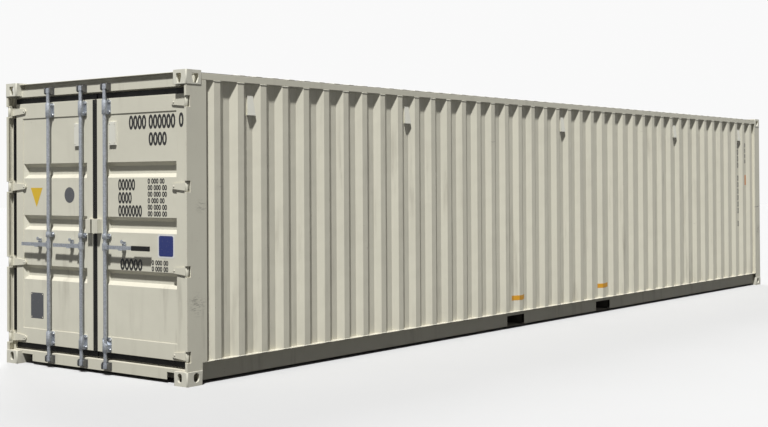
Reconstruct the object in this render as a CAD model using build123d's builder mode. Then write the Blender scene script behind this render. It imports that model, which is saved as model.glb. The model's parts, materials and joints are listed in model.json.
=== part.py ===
"""Steel shipping container, 40 ft long and standard height, with two hinged doors.

Length runs along X with the doors at -X, width along Y, height along Z from the ground up.
The right-hand door is the one at -Y, as seen by someone who faces the doors.
"""
from math import atan2, degrees
import os

from build123d import *

os.makedirs("parts", exist_ok=True)

# Overall envelope
container_length = 12192.0
container_width = 2438.0
container_height = 2591.0
door_end = -container_length / 2
front_end = container_length / 2
half_width = container_width / 2

# Corner castings
casting_length = 178.0
casting_width = 162.0
casting_height = 118.0
casting_slot_face = 28.0
casting_outer_wall = 20.0
casting_inner_wall = 10.0
casting_round = 12.0
slot_length = 124.5
slot_width = 63.5
slot_from_end = 103.5
slot_from_side = 89.5
aperture_height = 79.5
side_aperture_width = 63.5
end_aperture_width = 51.0
shield_top_width = 76.0
shield_bottom_width = 44.0
shield_shoulder = 34.0
shield_round = 10.0

# Steel that the frame shares
frame_inset = 4.0
plate = 6.0
post_steel = 12.0

# Bottom side rails
rail_low = 28.0
rail_height = 158.0
rail_upper_flange = 48.0
rail_lower_flange = 30.0
rail_steel = 4.5
rail_top = rail_low + rail_height

# Top side rails
top_rail_size = 60.0
top_rail_steel = 3.0
top_rail_round = 6.0
roof_drop = 20.0
top_rail_top = container_height - roof_drop
top_rail_low = top_rail_top - top_rail_size

# Door posts
post_front = 6.0
post_lip_width = 26.0
post_groove_depth = 48.0
post_width = 45.0
post_depth = 230.0

# Front posts
front_post_depth = 190.0
front_post_leg = 45.0
front_post_face = 146.0
front_post_thickness = 56.0

# Door header
header_face = 62.0
header_drop = 12.0
header_band = 43.0
header_face_height = 75.0
header_lip = 9.0
header_recess = 28.0
header_step = 43.0
header_overhang = 22.0
header_notch_width = 85.0
header_top = container_height - header_drop
header_face_high = header_top - header_band
header_face_low = header_face_high - header_face_height
header_low = header_face_low - header_lip

# Floor and underside
floor_thickness = 28.0
floor_drop = 14.0
floor_top = rail_top - floor_drop
floor_low = floor_top - floor_thickness
board_gap = 2.0
board_rows = 5
cross_height = 122.0
cross_flange = 45.0
cross_steel = 4.0
cross_pitch = 305.0
pocket_spacing = 2050.0
pocket_width = 360.0
pocket_roof = 3.0
pocket_side = 6.0
pocket_strap = 6.0
pocket_strap_length = 200.0
tunnel_length = 3255.0
tunnel_width = 1029.0
tunnel_height = 120.0
tunnel_steel = 5.0
tunnel_foot = 50.0

# Door sill, level with the floor
sill_low = 30.0
sill_ledge_drop = 48.0
sill_ledge_rise = 6.0
sill_top = floor_top
sill_ledge = sill_top - sill_ledge_drop
sill_depth = 98.0
sill_notch_length = 150.0
sill_notch_height = 62.0

# Corrugated side walls
sheet = 2.0
rib_flat = 72.0
rib_slope = 68.0
rib_depth = 36.0
wall_inset = 5.0
wall_end_flat = 10.0
rib_pitch = 2 * (rib_flat + rib_slope)

# Corrugated front wall
front_rib_flat = 110.0
front_rib_slope = 18.0
front_rib_inner = 104.0
front_rib_depth = 45.0
front_end_flat = 50.0
front_inset = 8.0
front_sill_top = 150.0
front_header_low = container_height - casting_height

# Roof
roof_ridge_flat = 91.0
roof_ridge_slope = 13.5
roof_ridge_rise = 12.0
roof_ridge_pitch = 209.0
roof_end_flat = 300.0
roof_side_flat = 60.0

# Wall vents
vent_drop = 101.0
vent_height = 170.0
vent_top_width = 62.0
vent_bottom_width = 68.0
vent_outer_top_width = 66.0
vent_outer_bottom_width = 96.0
vent_top_depth = 10.0
vent_bottom_depth = 30.0
vent_wall = 2.0
vent_place_shares = (-0.905, -0.524, 0, 0.524, 0.905)

# Doors
leaf_face = 60.0
leaf_thickness = 50.0
leaf_edge = 82.0
leaf_bottom_gap = 22.0
leaf_top_gap = 62.0
leaf_low = sill_top + leaf_bottom_gap
leaf_high = header_face_low - leaf_top_gap
leaf_height = leaf_high - leaf_low
centre_gap = 30.0
stile_width = 100.0
leaf_rail_height = 139.0
panel_recess = 6.0
groove_height_shares = (0.297, 0.504, 0.718)
groove_height = 136.0
groove_flat = 70.0
groove_depth = 34.0
groove_margin = 6.0

# Gasket
seal_front = 86.0
seal_thickness = 14.0
seal_clearance = 5.0
seal_sill_gap = 10.0
seal_head_gap = 12.0
seal_centre_reach = 7.0
seal_lip = 4.0

# Hinges
pin_from_end = 28.0
pin_from_side = 26.0
pin_radius = 8.0
pin_play = 0.3
barrel_radius = 15.0
blade_height = 78.0
blade_thickness = 10.0
blade_reach = 205.0
blade_tip_radius = 22.0
hinge_count = 4
hinge_low_inset = 46.0
hinge_high_inset = 69.0
hinge_notch_height = 92.0
hinge_notch_depth = 48.0
lug_thickness = 16.0
lug_gap = 1.0
lug_size = 26.0

# Lock rods
rod_radius = 17.0
rod_centre = 30.0
inner_rod_y = 162.0
outer_rod_y = 622.0
rod_low_inset = 26.0
rod_high_inset = 12.0
rod_low = sill_low + rod_low_inset
rod_high = header_face_high - rod_high_inset
cam_height = 40.0
cam_radius = 21.0
cam_nose = 28.0
cam_nose_width = 22.0
cam_bevel = 6.0
cam_end_gap = 4.0

# Cam keepers
keeper_plate = 6.0
keeper_plate_width = 100.0
keeper_height = 64.0
keeper_cheek = 8.0
keeper_clearance = 6.0
keeper_reach = 40.0
keeper_round = 18.0
keeper_low_middle = rod_low + cam_end_gap + cam_height / 2
keeper_high_middle = rod_high - cam_end_gap - cam_height / 2

# Rod brackets
bracket_play = 0.3
bracket_wall = 7.0
bracket_plate = 6.0
bracket_width = 100.0
bracket_height = 126.0
bracket_corner = 14.0
mid_bracket_height = 44.0
mid_bracket_rise = 92.0
bracket_low_inset = 68.0
bracket_high_inset = 76.0

# Handles
handle_height = 1110.0
handle_from_end = 13.0
handle_thickness = 10.0
handle_bar = 32.0
handle_pivot_reach = 46.0
handle_round = 16.0
pivot_radius = 6.0
hub_radius = 24.0
hub_height = 64.0
fork_plate = 7.0
fork_gap = 2.0
fork_reach = 62.0
fork_height = 36.0
left_handle_length = 378.0
right_handle_length = 578.0
grip_length = 215.0
grip_wall = 4.0
grip_height = 42.0

# Handle retainers
retainer_width = 44.0
retainer_plate = 6.0
shelf_thickness = 8.0
shelf_reach = 50.0
seat_gap = 0.3
left_retainer_reach = 160.0
right_retainer_reach = 218.0
eye_rise = 51.0
eye_radius = 16.0
eye_hole = 6.0
eye_thickness = 6.0
eye_stand_off = 26.0

# Lock box, split at the gap between the doors
box_rise = 117.0
box_height = 123.0
box_depth = 52.0
box_gap = 10.0
box_left_edge = 74.0
box_right_edge = 84.0
box_wall = 5.0

# Door vents
door_vent_y = 236.0
door_vent_width = 90.0
door_vent_drop = 204.0
door_vent_height = 205.0
door_vent_depth = 16.0
door_vent_wall = 3.0

# Places worked out from the sizes above
casting_x = door_end + casting_length / 2
casting_y = half_width - casting_width / 2
casting_cavity_height = casting_height - casting_slot_face - casting_inner_wall
post_inner = frame_inset + post_width
rail_start = door_end + casting_length
rail_span = container_length - 2 * casting_length
rail_web = half_width - frame_inset - rail_upper_flange
pin_x = door_end + pin_from_end
pin_y = half_width - pin_from_side
leaf_x = door_end + leaf_face
panel_face = leaf_face + panel_recess
leaf_outer_y = half_width - leaf_edge
leaf_inner_y = centre_gap / 2
leaf_width = leaf_outer_y - leaf_inner_y
leaf_middle_y = (leaf_outer_y + leaf_inner_y) / 2
leaf_middle_z = (leaf_high + leaf_low) / 2
panel_width = leaf_width - 2 * stile_width
panel_height = leaf_height - 2 * leaf_rail_height
hinge_spacing = (leaf_height - hinge_low_inset - hinge_high_inset) / (hinge_count - 1)
hinge_heights = [leaf_low + hinge_low_inset + place * hinge_spacing for place in range(hinge_count)]
rod_x = door_end + rod_centre
bracket_heights = (leaf_low + bracket_low_inset, handle_height + mid_bracket_rise, leaf_high - bracket_high_inset)
wall_start = door_end + post_depth
wall_end = front_end - front_post_depth
rib_room = 2 * (min(-wall_start, wall_end) - wall_end_flat) + rib_flat
rib_count = 2 * int(rib_room // (2 * rib_pitch))
vent_top = top_rail_low - vent_drop
door_vent_low = leaf_high - door_vent_drop - door_vent_height
box_low = handle_height + box_rise
box_high = box_low + box_height


def corner_castings(low, slot_on_top):
    """Four hollow castings whose slotted face is the top one or the bottom one."""
    cavity_low = low + (casting_inner_wall if slot_on_top else casting_slot_face)
    slot_low = low + (casting_height - casting_slot_face if slot_on_top else 0)
    aperture_z = cavity_low + casting_cavity_height / 2
    with BuildPart() as castings:
        with BuildSketch(Plane.XY.offset(low)):
            with Locations((casting_x, -casting_y)):
                Rectangle(casting_length, casting_width)
        extrude(amount=casting_height)
        fillet(castings.edges().filter_by(Axis.Z), casting_round)
        cavity_x = casting_x + (casting_outer_wall - casting_inner_wall) / 2
        cavity_y = casting_y - (casting_outer_wall - casting_inner_wall) / 2
        walls = casting_outer_wall + casting_inner_wall
        with BuildSketch(Plane.XY.offset(cavity_low)):
            with Locations((cavity_x, -cavity_y)):
                Rectangle(casting_length - walls, casting_width - walls)
        extrude(amount=casting_cavity_height, mode=Mode.SUBTRACT)
        with BuildSketch(Plane.XY.offset(slot_low)):
            with Locations((door_end + slot_from_end, slot_from_side - half_width)):
                SlotOverall(slot_length, slot_width)
        extrude(amount=casting_slot_face, mode=Mode.SUBTRACT)
        with BuildSketch(Plane.YZ.offset(door_end)) as end_aperture:
            with Locations((slot_from_side - half_width, aperture_z)):
                if slot_on_top:
                    Polygon(*shield(end_aperture_width / side_aperture_width), align=None)
                    fillet(end_aperture.vertices(), shield_round)
                else:
                    SlotOverall(aperture_height, end_aperture_width, rotation=90)
        extrude(amount=casting_outer_wall, mode=Mode.SUBTRACT)
        with BuildSketch(Plane.XZ.offset(half_width)) as side_aperture:
            with Locations((door_end + slot_from_end, aperture_z)):
                if slot_on_top:
                    Polygon(*shield(1), align=None)
                    fillet(side_aperture.vertices(), shield_round)
                else:
                    SlotOverall(aperture_height, side_aperture_width, rotation=90)
        extrude(amount=-casting_outer_wall, mode=Mode.SUBTRACT)
        mirror(about=Plane.XZ)
        mirror(about=Plane.YZ)
    return castings


def shield(width_share):
    """Corners of a shield-shaped opening, wide at the top and narrow at the foot."""
    top = aperture_height / 2
    shoulder = top - shield_shoulder
    wide = shield_top_width / 2 * width_share
    narrow = shield_bottom_width / 2 * width_share
    return [(-narrow, -top), (narrow, -top), (wide, shoulder), (wide, top), (-wide, top), (-wide, shoulder)]


bottom_corner_castings = corner_castings(0, slot_on_top=False)
bottom_corner_castings.part.label = "bottom_corner_castings"
export_step(bottom_corner_castings.part, "parts/bottom_corner_castings.step")

top_corner_castings = corner_castings(container_height - casting_height, slot_on_top=True)
top_corner_castings.part.label = "top_corner_castings"
export_step(top_corner_castings.part, "parts/top_corner_castings.step")


def block(x_low, x_high, y_low, y_high, z_low, z_high, mode=Mode.ADD):
    """Straight block between two corners, in the part that is open."""
    with Locations(((x_low + x_high) / 2, (y_low + y_high) / 2, (z_low + z_high) / 2)):
        Box(x_high - x_low, y_high - y_low, z_high - z_low, mode=mode)


def plan_points(points, sign, from_front=False):
    """Turns (distance from the end, distance from the side) into X and Y on one side of the container."""
    placed = []
    for from_end, from_side in points:
        x = front_end - from_end if from_front else door_end + from_end
        placed.append((x, sign * (half_width - from_side)))
    return placed


# Door posts: a rolled channel with a front lip and a groove, backed by a pressed box
def door_post(sign):
    groove_back = post_front + post_steel + post_groove_depth
    web = frame_inset + post_steel
    outline = [
        (post_front, frame_inset),
        (post_depth, frame_inset),
        (post_depth, post_inner),
        (groove_back, post_inner),
        (groove_back, web),
        (post_front + post_steel, web),
        (post_front + post_steel, frame_inset + post_lip_width),
        (post_front, frame_inset + post_lip_width),
    ]
    hollow = [
        (groove_back + plate, frame_inset + plate),
        (post_depth - plate, frame_inset + plate),
        (post_depth - plate, post_inner - plate),
        (groove_back + plate, post_inner - plate),
    ]
    with BuildPart() as post:
        with BuildSketch(Plane.XY.offset(casting_height)):
            Polygon(*plan_points(outline, sign), align=None)
            Polygon(*plan_points(hollow, sign), align=None, mode=Mode.SUBTRACT)
        extrude(amount=top_rail_low - casting_height)
        side_low, side_high = sorted((sign * half_width, sign * (half_width - post_inner)))
        block(rail_start, door_end + post_depth, side_low, side_high, casting_height, rail_top, Mode.SUBTRACT)
        block(door_end, rail_start, side_low, side_high, container_height - casting_height, top_rail_low,
              Mode.SUBTRACT)
        notch_low, notch_high = sorted((sign * half_width, sign * (half_width - frame_inset - post_lip_width)))
        for height in hinge_heights:
            block(door_end, door_end + hinge_notch_depth, notch_low, notch_high,
                  height - hinge_notch_height / 2, height + hinge_notch_height / 2, Mode.SUBTRACT)
    return post


for side, sign in (("right", -1), ("left", 1)):
    post = door_post(sign)
    post.part.label = side + "_door_post"
    export_step(post.part, "parts/" + side + "_door_post.step")


# Front posts: one pressed L-shaped hollow section at each front corner
def front_post(sign):
    leg = frame_inset + front_post_leg
    face = frame_inset + front_post_face
    outline = [
        (frame_inset, frame_inset),
        (front_post_depth, frame_inset),
        (front_post_depth, leg),
        (front_post_thickness, leg),
        (front_post_thickness, face),
        (frame_inset, face),
    ]
    low = frame_inset + plate
    hollow = [
        (low, low),
        (front_post_depth - plate, low),
        (front_post_depth - plate, leg - plate),
        (front_post_thickness - plate, leg - plate),
        (front_post_thickness - plate, face - plate),
        (low, face - plate),
    ]
    with BuildPart() as post:
        with BuildSketch(Plane.XY.offset(casting_height)):
            Polygon(*plan_points(outline, sign, from_front=True), align=None)
            Polygon(*plan_points(hollow, sign, from_front=True), align=None, mode=Mode.SUBTRACT)
        extrude(amount=top_rail_low - casting_height)
        leg_start = front_end - front_post_depth
        side_low, side_high = sorted((sign * half_width, sign * (half_width - face)))
        block(leg_start, -rail_start, side_low, side_high, casting_height, rail_top, Mode.SUBTRACT)
        block(-rail_start, front_end, side_low, side_high, container_height - casting_height, top_rail_low,
              Mode.SUBTRACT)
    return post


for side, sign in (("right", -1), ("left", 1)):
    post = front_post(sign)
    post.part.label = side + "_front_post"
    export_step(post.part, "parts/" + side + "_front_post.step")

# Door header: a pressed beam with a top plate that overhangs the doors
header_back = casting_length
header_rebate = header_face + header_step
with BuildPart() as door_header:
    header_outline = [
        (header_face, header_face_low),
        (header_face, header_face_high),
        (header_face + header_recess, header_face_high),
        (header_face + header_recess, header_top - plate),
        (header_face - header_overhang, header_top - plate),
        (header_face - header_overhang, header_top),
        (header_back, header_top),
        (header_back, header_low),
        (header_rebate, header_low),
        (header_rebate, header_face_low),
    ]
    header_hollow_low = header_rebate + plate
    with BuildSketch(Plane.XZ.offset(-(half_width - post_inner))):
        Polygon(*[(door_end + s, z) for s, z in header_outline], align=None)
        with Locations((door_end + (header_hollow_low + header_back - plate) / 2, (header_low + header_top) / 2)):
            Rectangle(header_back - plate - header_hollow_low, header_top - header_low - 2 * plate,
                      mode=Mode.SUBTRACT)
    extrude(amount=2 * (half_width - post_inner))
    for sign in (-1, 1):
        y_low, y_high = sorted((sign * (half_width - casting_width), sign * half_width))
        block(door_end, door_end + header_back, y_low, y_high,
              container_height - casting_height, container_height, Mode.SUBTRACT)
        y_low, y_high = sorted((sign * (half_width - post_inner - header_notch_width), sign * half_width))
        block(door_end, door_end + header_rebate, y_low, y_high, header_low,
              container_height - casting_height, Mode.SUBTRACT)
door_header.part.label = "door_header"
export_step(door_header.part, "parts/door_header.step")

# Door sill: a pressed beam with a ledge in front of the threshold, notched beside the castings
sill_riser = header_rebate
sill_back = header_face + sill_depth
with BuildPart() as door_sill:
    sill_outline = [
        (header_face, sill_low),
        (header_face, sill_ledge),
        (sill_riser, sill_ledge + sill_ledge_rise),
        (sill_riser, sill_top),
        (sill_back, sill_top),
        (sill_back, sill_low),
        (sill_back - plate, sill_low),
        (sill_back - plate, sill_top - plate),
        (sill_riser + plate, sill_top - plate),
        (sill_riser + plate, sill_ledge),
        (header_face + plate, sill_ledge - plate),
        (header_face + plate, sill_low),
    ]
    with BuildSketch(Plane.XZ.offset(-(half_width - post_inner))):
        Polygon(*[(door_end + s, z) for s, z in sill_outline], align=None)
    extrude(amount=2 * (half_width - post_inner))
    for sign in (-1, 1):
        y_low, y_high = sorted((sign * (half_width - casting_width), sign * half_width))
        block(door_end, door_end + casting_length, y_low, y_high, 0, casting_height, Mode.SUBTRACT)
        y_low, y_high = sorted((sign * (half_width - casting_width - sill_notch_length),
                                sign * (half_width - casting_width)))
        block(door_end, door_end + casting_length, y_low, y_high, 0, sill_low + sill_notch_height, Mode.SUBTRACT)
door_sill.part.label = "door_sill"
export_step(door_sill.part, "parts/door_sill.step")

# Front sill and front header
front_beam_half = half_width - casting_width
front_beam_outer = front_end - frame_inset
front_beam_inner = front_end - front_post_thickness
tunnel_top = tunnel_height + tunnel_steel
with BuildPart() as front_sill:
    block(front_beam_inner, front_beam_outer, -front_beam_half, front_beam_half, rail_low, front_sill_top)
    block(front_beam_inner + plate, front_beam_outer - plate, -front_beam_half, front_beam_half,
          rail_low + plate, front_sill_top - plate, Mode.SUBTRACT)
    block(front_beam_inner, front_beam_outer, -tunnel_width / 2 - tunnel_steel, tunnel_width / 2 + tunnel_steel,
          rail_low, tunnel_top, Mode.SUBTRACT)
front_sill.part.label = "front_sill"
export_step(front_sill.part, "parts/front_sill.step")

with BuildPart() as front_header:
    block(front_beam_inner, front_beam_outer, -front_beam_half, front_beam_half, front_header_low, header_top)
    block(front_beam_inner + plate, front_beam_outer - plate, -front_beam_half, front_beam_half,
          front_header_low + plate, header_top - plate, Mode.SUBTRACT)
    block(front_end - casting_length, front_beam_inner, -front_beam_half, front_beam_half,
          header_top - plate, header_top)
front_header.part.label = "front_header"
export_step(front_header.part, "parts/front_header.step")

# Top side rails: square tubes between the castings
with BuildPart() as top_side_rails:
    with BuildSketch(Plane.YZ.offset(rail_start)):
        with Locations((-(half_width - frame_inset - top_rail_size / 2), top_rail_top - top_rail_size / 2)):
            RectangleRounded(top_rail_size, top_rail_size, top_rail_round)
            Rectangle(top_rail_size - 2 * top_rail_steel, top_rail_size - 2 * top_rail_steel,
                      mode=Mode.SUBTRACT)
    extrude(amount=rail_span)
    mirror(about=Plane.XZ)
top_side_rails.part.label = "top_side_rails"
export_step(top_side_rails.part, "parts/top_side_rails.step")

# Bottom side rails: a web between an outward top flange and an inward bottom flange
rail_outer = half_width - frame_inset
rail_foot = rail_web - rail_steel - rail_lower_flange
with BuildPart() as bottom_side_rails:
    with BuildSketch(Plane.YZ.offset(rail_start)):
        Polygon(
            (-rail_outer, rail_top - rail_steel),
            (-rail_outer, rail_top),
            (-(rail_web - rail_steel), rail_top),
            (-(rail_web - rail_steel), rail_low + rail_steel),
            (-rail_foot, rail_low + rail_steel),
            (-rail_foot, rail_low),
            (-rail_web, rail_low),
            (-rail_web, rail_top - rail_steel),
            align=None,
        )
    extrude(amount=rail_span)
    for pocket in (-1, 1):
        middle = pocket * pocket_spacing / 2
        block(middle - pocket_width / 2, middle + pocket_width / 2, -half_width, -rail_foot, rail_low,
              floor_low - pocket_roof, Mode.SUBTRACT)
    mirror(about=Plane.XZ)
bottom_side_rails.part.label = "bottom_side_rails"
export_step(bottom_side_rails.part, "parts/bottom_side_rails.step")


# Side walls: one corrugated sheet between the posts, from rail to rail
def side_wall(sign):
    outer = half_width - wall_inset
    inner = outer - rib_depth
    first_rib = -(rib_count - 1) / 2 * rib_pitch
    points = [(wall_start, inner)]
    for rib in range(rib_count):
        middle = first_rib + rib * rib_pitch
        points.append((middle - rib_flat / 2 - rib_slope, inner))
        points.append((middle - rib_flat / 2, outer))
        points.append((middle + rib_flat / 2, outer))
        points.append((middle + rib_flat / 2 + rib_slope, inner))
    points.append((wall_end, inner))
    face = [(x, sign * y) for x, y in points]
    back = [(x, sign * (y - sheet)) for x, y in reversed(points)]
    with BuildPart() as wall:
        with BuildSketch(Plane.XY.offset(rail_top)):
            Polygon(*face, *back, align=None)
        extrude(amount=top_rail_low - rail_top)
    return wall


for side, sign in (("right", -1), ("left", 1)):
    wall = side_wall(sign)
    wall.part.label = side + "_side_wall"
    export_step(wall.part, "parts/" + side + "_side_wall.step")

# Front wall: deeper corrugations, behind the front posts' faces
with BuildPart() as front_wall:
    front_face = front_end - front_inset
    front_back = front_face - front_rib_depth
    front_pitch = front_rib_flat + front_rib_inner + 2 * front_rib_slope
    front_wall_half = half_width - frame_inset - front_post_face
    front_rib_room = 2 * (front_wall_half - front_end_flat) + front_rib_inner
    front_rib_count = int(front_rib_room // front_pitch)
    points = [(front_back + sheet, -front_wall_half)]
    for rib in range(front_rib_count):
        middle = (rib - (front_rib_count - 1) / 2) * front_pitch
        points.append((front_back + sheet, middle - front_rib_flat / 2 - front_rib_slope))
        points.append((front_face, middle - front_rib_flat / 2))
        points.append((front_face, middle + front_rib_flat / 2))
        points.append((front_back + sheet, middle + front_rib_flat / 2 + front_rib_slope))
    points.append((front_back + sheet, front_wall_half))
    with BuildSketch(Plane.XY.offset(front_sill_top)):
        Polygon(*points, *[(x - sheet, y) for x, y in reversed(points)], align=None)
    extrude(amount=front_header_low - front_sill_top)
front_wall.part.label = "front_wall"
export_step(front_wall.part, "parts/front_wall.step")

# Roof: a flat sheet on the rails with a row of stamped ridges
with BuildPart() as roof_panel:
    roof_half = half_width - frame_inset
    ridge_base = roof_ridge_flat + 2 * roof_ridge_slope
    ridge_length = 2 * (roof_half - roof_side_flat)
    ridge_count = int((rail_span - 2 * roof_end_flat) // roof_ridge_pitch)
    ridge_taper = degrees(atan2(roof_ridge_slope, roof_ridge_rise))
    block(rail_start, -rail_start, -roof_half, roof_half, top_rail_top, top_rail_top + sheet)
    with BuildSketch(Plane.XY.offset(top_rail_top + sheet)):
        with GridLocations(roof_ridge_pitch, 0, ridge_count, 1):
            Rectangle(ridge_base, ridge_length)
    extrude(amount=roof_ridge_rise, taper=ridge_taper)
    with BuildSketch(Plane.XY.offset(top_rail_top)):
        with GridLocations(roof_ridge_pitch, 0, ridge_count, 1):
            Rectangle(ridge_base - sheet, ridge_length - sheet)
    extrude(amount=roof_ridge_rise, taper=ridge_taper, mode=Mode.SUBTRACT)
roof_panel.part.label = "roof_panel"
export_step(roof_panel.part, "parts/roof_panel.step")

# Floor boards: two columns of plywood sheets
with BuildPart() as floor_boards:
    floor_start = door_end + sill_back
    floor_end = front_beam_inner
    floor_half = rail_web - rail_steel
    board_length = (floor_end - floor_start - (board_rows - 1) * board_gap) / board_rows
    board_width = floor_half - board_gap / 2
    with BuildSketch(Plane.XY.offset(floor_low)):
        with Locations(((floor_start + floor_end) / 2, 0)):
            with GridLocations(board_length + board_gap, board_width + board_gap, board_rows, 2):
                Rectangle(board_length, board_width)
    extrude(amount=floor_thickness)
floor_boards.part.label = "floor_boards"
export_step(floor_boards.part, "parts/floor_boards.step")

# Cross members: C-sections under the floor, cut out over the gooseneck tunnel
cross_start = floor_start
cross_end = floor_end - cross_flange
cross_spaces = round((cross_end - cross_start) / cross_pitch)
cross_step = (cross_end - cross_start) / cross_spaces
tunnel_start = front_beam_inner - tunnel_length
pocket_outer = pocket_width / 2 + pocket_side
cross_places = []
for place in range(cross_spaces + 1):
    x = cross_start + place * cross_step
    clear_of_pockets = all(
        x + cross_flange < middle - pocket_outer or x > middle + pocket_outer
        for middle in (-pocket_spacing / 2, pocket_spacing / 2)
    )
    if clear_of_pockets:
        cross_places.append(x)
with BuildPart() as cross_members:
    for x in cross_places:
        with BuildSketch(Plane.XZ.offset(-floor_half)):
            Polygon(
                (x, floor_low - cross_height),
                (x + cross_flange, floor_low - cross_height),
                (x + cross_flange, floor_low - cross_height + cross_steel),
                (x + cross_steel, floor_low - cross_height + cross_steel),
                (x + cross_steel, floor_low - cross_steel),
                (x + cross_flange, floor_low - cross_steel),
                (x + cross_flange, floor_low),
                (x, floor_low),
                align=None,
            )
        extrude(amount=2 * floor_half)
    for sign in (-1, 1):
        y_low, y_high = sorted((sign * rail_foot, sign * floor_half))
        block(cross_start, floor_end, y_low, y_high, floor_low - cross_height, rail_low + rail_steel,
              Mode.SUBTRACT)
        for x_low, x_high in ((door_end, rail_start), (-rail_start, front_end)):
            y_low, y_high = sorted((sign * (half_width - casting_width), sign * half_width))
            block(x_low, x_high, y_low, y_high, 0, casting_height, Mode.SUBTRACT)
    tunnel_outer = tunnel_width / 2 + tunnel_steel
    block(tunnel_start, floor_end, -tunnel_outer, tunnel_outer, floor_low - cross_height, floor_low,
          Mode.SUBTRACT)
    block(tunnel_start, floor_end, -tunnel_outer - tunnel_foot, tunnel_outer + tunnel_foot,
          floor_low - cross_height, rail_low + tunnel_steel, Mode.SUBTRACT)
cross_members.part.label = "cross_members"
export_step(cross_members.part, "parts/cross_members.step")

# Fork pockets: a roof and two side plates through the width, with a strap under each end
with BuildPart() as fork_pockets:
    for middle in (-pocket_spacing / 2, pocket_spacing / 2):
        block(middle - pocket_outer, middle + pocket_outer, -floor_half, floor_half,
              floor_low - pocket_roof, floor_low)
        for side_x in (middle - pocket_outer, middle + pocket_width / 2):
            block(side_x, side_x + pocket_side, -rail_foot, rail_foot, rail_low, floor_low - pocket_roof)
        for sign in (-1, 1):
            y_low, y_high = sorted((sign * rail_web, sign * (rail_web - pocket_strap_length)))
            block(middle - pocket_outer, middle + pocket_outer, y_low, y_high,
                  rail_low - pocket_strap, rail_low)
fork_pockets.part.label = "fork_pockets"
export_step(fork_pockets.part, "parts/fork_pockets.step")

# Gooseneck tunnel: a pressed channel, open below, with flat bolsters between it and the floor
with BuildPart() as gooseneck_tunnel:
    tunnel_half = tunnel_width / 2
    with BuildSketch(Plane.YZ.offset(tunnel_start)):
        Polygon(
            (-tunnel_half - tunnel_steel - tunnel_foot, rail_low),
            (-tunnel_half, rail_low),
            (-tunnel_half, tunnel_height),
            (tunnel_half, tunnel_height),
            (tunnel_half, rail_low),
            (tunnel_half + tunnel_steel + tunnel_foot, rail_low),
            (tunnel_half + tunnel_steel + tunnel_foot, rail_low + tunnel_steel),
            (tunnel_half + tunnel_steel, rail_low + tunnel_steel),
            (tunnel_half + tunnel_steel, tunnel_top),
            (-tunnel_half - tunnel_steel, tunnel_top),
            (-tunnel_half - tunnel_steel, rail_low + tunnel_steel),
            (-tunnel_half - tunnel_steel - tunnel_foot, rail_low + tunnel_steel),
            align=None,
        )
    extrude(amount=tunnel_length)
    for x in cross_places:
        if x > tunnel_start:
            block(x, x + cross_flange, -tunnel_half, tunnel_half, tunnel_top, floor_low)
gooseneck_tunnel.part.label = "gooseneck_tunnel"
export_step(gooseneck_tunnel.part, "parts/gooseneck_tunnel.step")

# Hinge lugs: one above and one below each barrel, with the pin through both
with BuildPart() as hinge_lugs:
    lug_start = blade_height / 2 + lug_gap
    lug_x = door_end + post_front + post_steel + lug_size / 2
    lug_y = half_width - frame_inset - post_steel - lug_size / 2
    for height in hinge_heights:
        for low in (height - lug_start - lug_thickness, height + lug_start):
            with BuildSketch(Plane.XY.offset(low)):
                with Locations((lug_x, -lug_y)):
                    Rectangle(lug_size, lug_size)
            extrude(amount=lug_thickness)
        with BuildSketch(Plane.XY.offset(height - lug_start - lug_thickness)):
            with Locations((pin_x, -pin_y)):
                Circle(pin_radius)
        extrude(amount=2 * (lug_start + lug_thickness))
    mirror(about=Plane.XZ)
hinge_lugs.part.label = "hinge_lugs"
export_step(hinge_lugs.part, "parts/hinge_lugs.step")

# Cam keepers: a plate with two cheeks, open to the rear, at each end of each rod
rod_places = (("right", -inner_rod_y), ("left_inner", inner_rod_y), ("left_outer", outer_rod_y))
keeper_gap = 2 * (cam_nose + keeper_clearance)
with BuildPart() as cam_keepers:
    for name, rod_y in rod_places:
        for middle in (keeper_low_middle, keeper_high_middle):
            face_x = door_end + header_face
            block(face_x - keeper_plate, face_x, rod_y - keeper_plate_width / 2, rod_y + keeper_plate_width / 2,
                  middle - keeper_height / 2, middle + keeper_height / 2)
            for low in (rod_y - keeper_gap / 2 - keeper_cheek, rod_y + keeper_gap / 2):
                block(face_x - keeper_plate - keeper_reach, face_x - keeper_plate, low, low + keeper_cheek,
                      middle - keeper_height / 2, middle + keeper_height / 2)
    noses = cam_keepers.edges().filter_by(Axis.Y).group_by(Axis.X)[0]
    fillet(noses, keeper_round)
cam_keepers.part.label = "cam_keepers"
export_step(cam_keepers.part, "parts/cam_keepers.step")


def vent_section(base_width, outer_width, depth, inset=0):
    """Plan corners of a vent hood that stands on the flat of a trough."""
    floor_y = -(half_width - wall_inset - rib_depth)
    return [
        (-base_width / 2 + inset, floor_y),
        (-outer_width / 2 + inset, floor_y - depth + inset),
        (outer_width / 2 - inset, floor_y - depth + inset),
        (base_width / 2 - inset, floor_y),
    ]


# Wall vents: hoods that flare downwards, open at the bottom
with BuildPart() as wall_vents:
    for inset, mode in ((0, Mode.ADD), (vent_wall, Mode.SUBTRACT)):
        for place_share in vent_place_shares:
            move = Location((round(place_share * rib_count / 2) * rib_pitch, 0))
            with BuildSketch(Plane.XY.offset(vent_top - inset)):
                with Locations(move):
                    Polygon(*vent_section(vent_top_width, vent_outer_top_width, vent_top_depth, inset),
                            align=None)
            with BuildSketch(Plane.XY.offset(vent_top - vent_height)):
                with Locations(move):
                    Polygon(*vent_section(vent_bottom_width, vent_outer_bottom_width, vent_bottom_depth, inset),
                            align=None)
            loft(ruled=True, mode=mode)
    mirror(about=Plane.XZ)
wall_vents.part.label = "wall_vents"
export_step(wall_vents.part, "parts/wall_vents.step")


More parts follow.
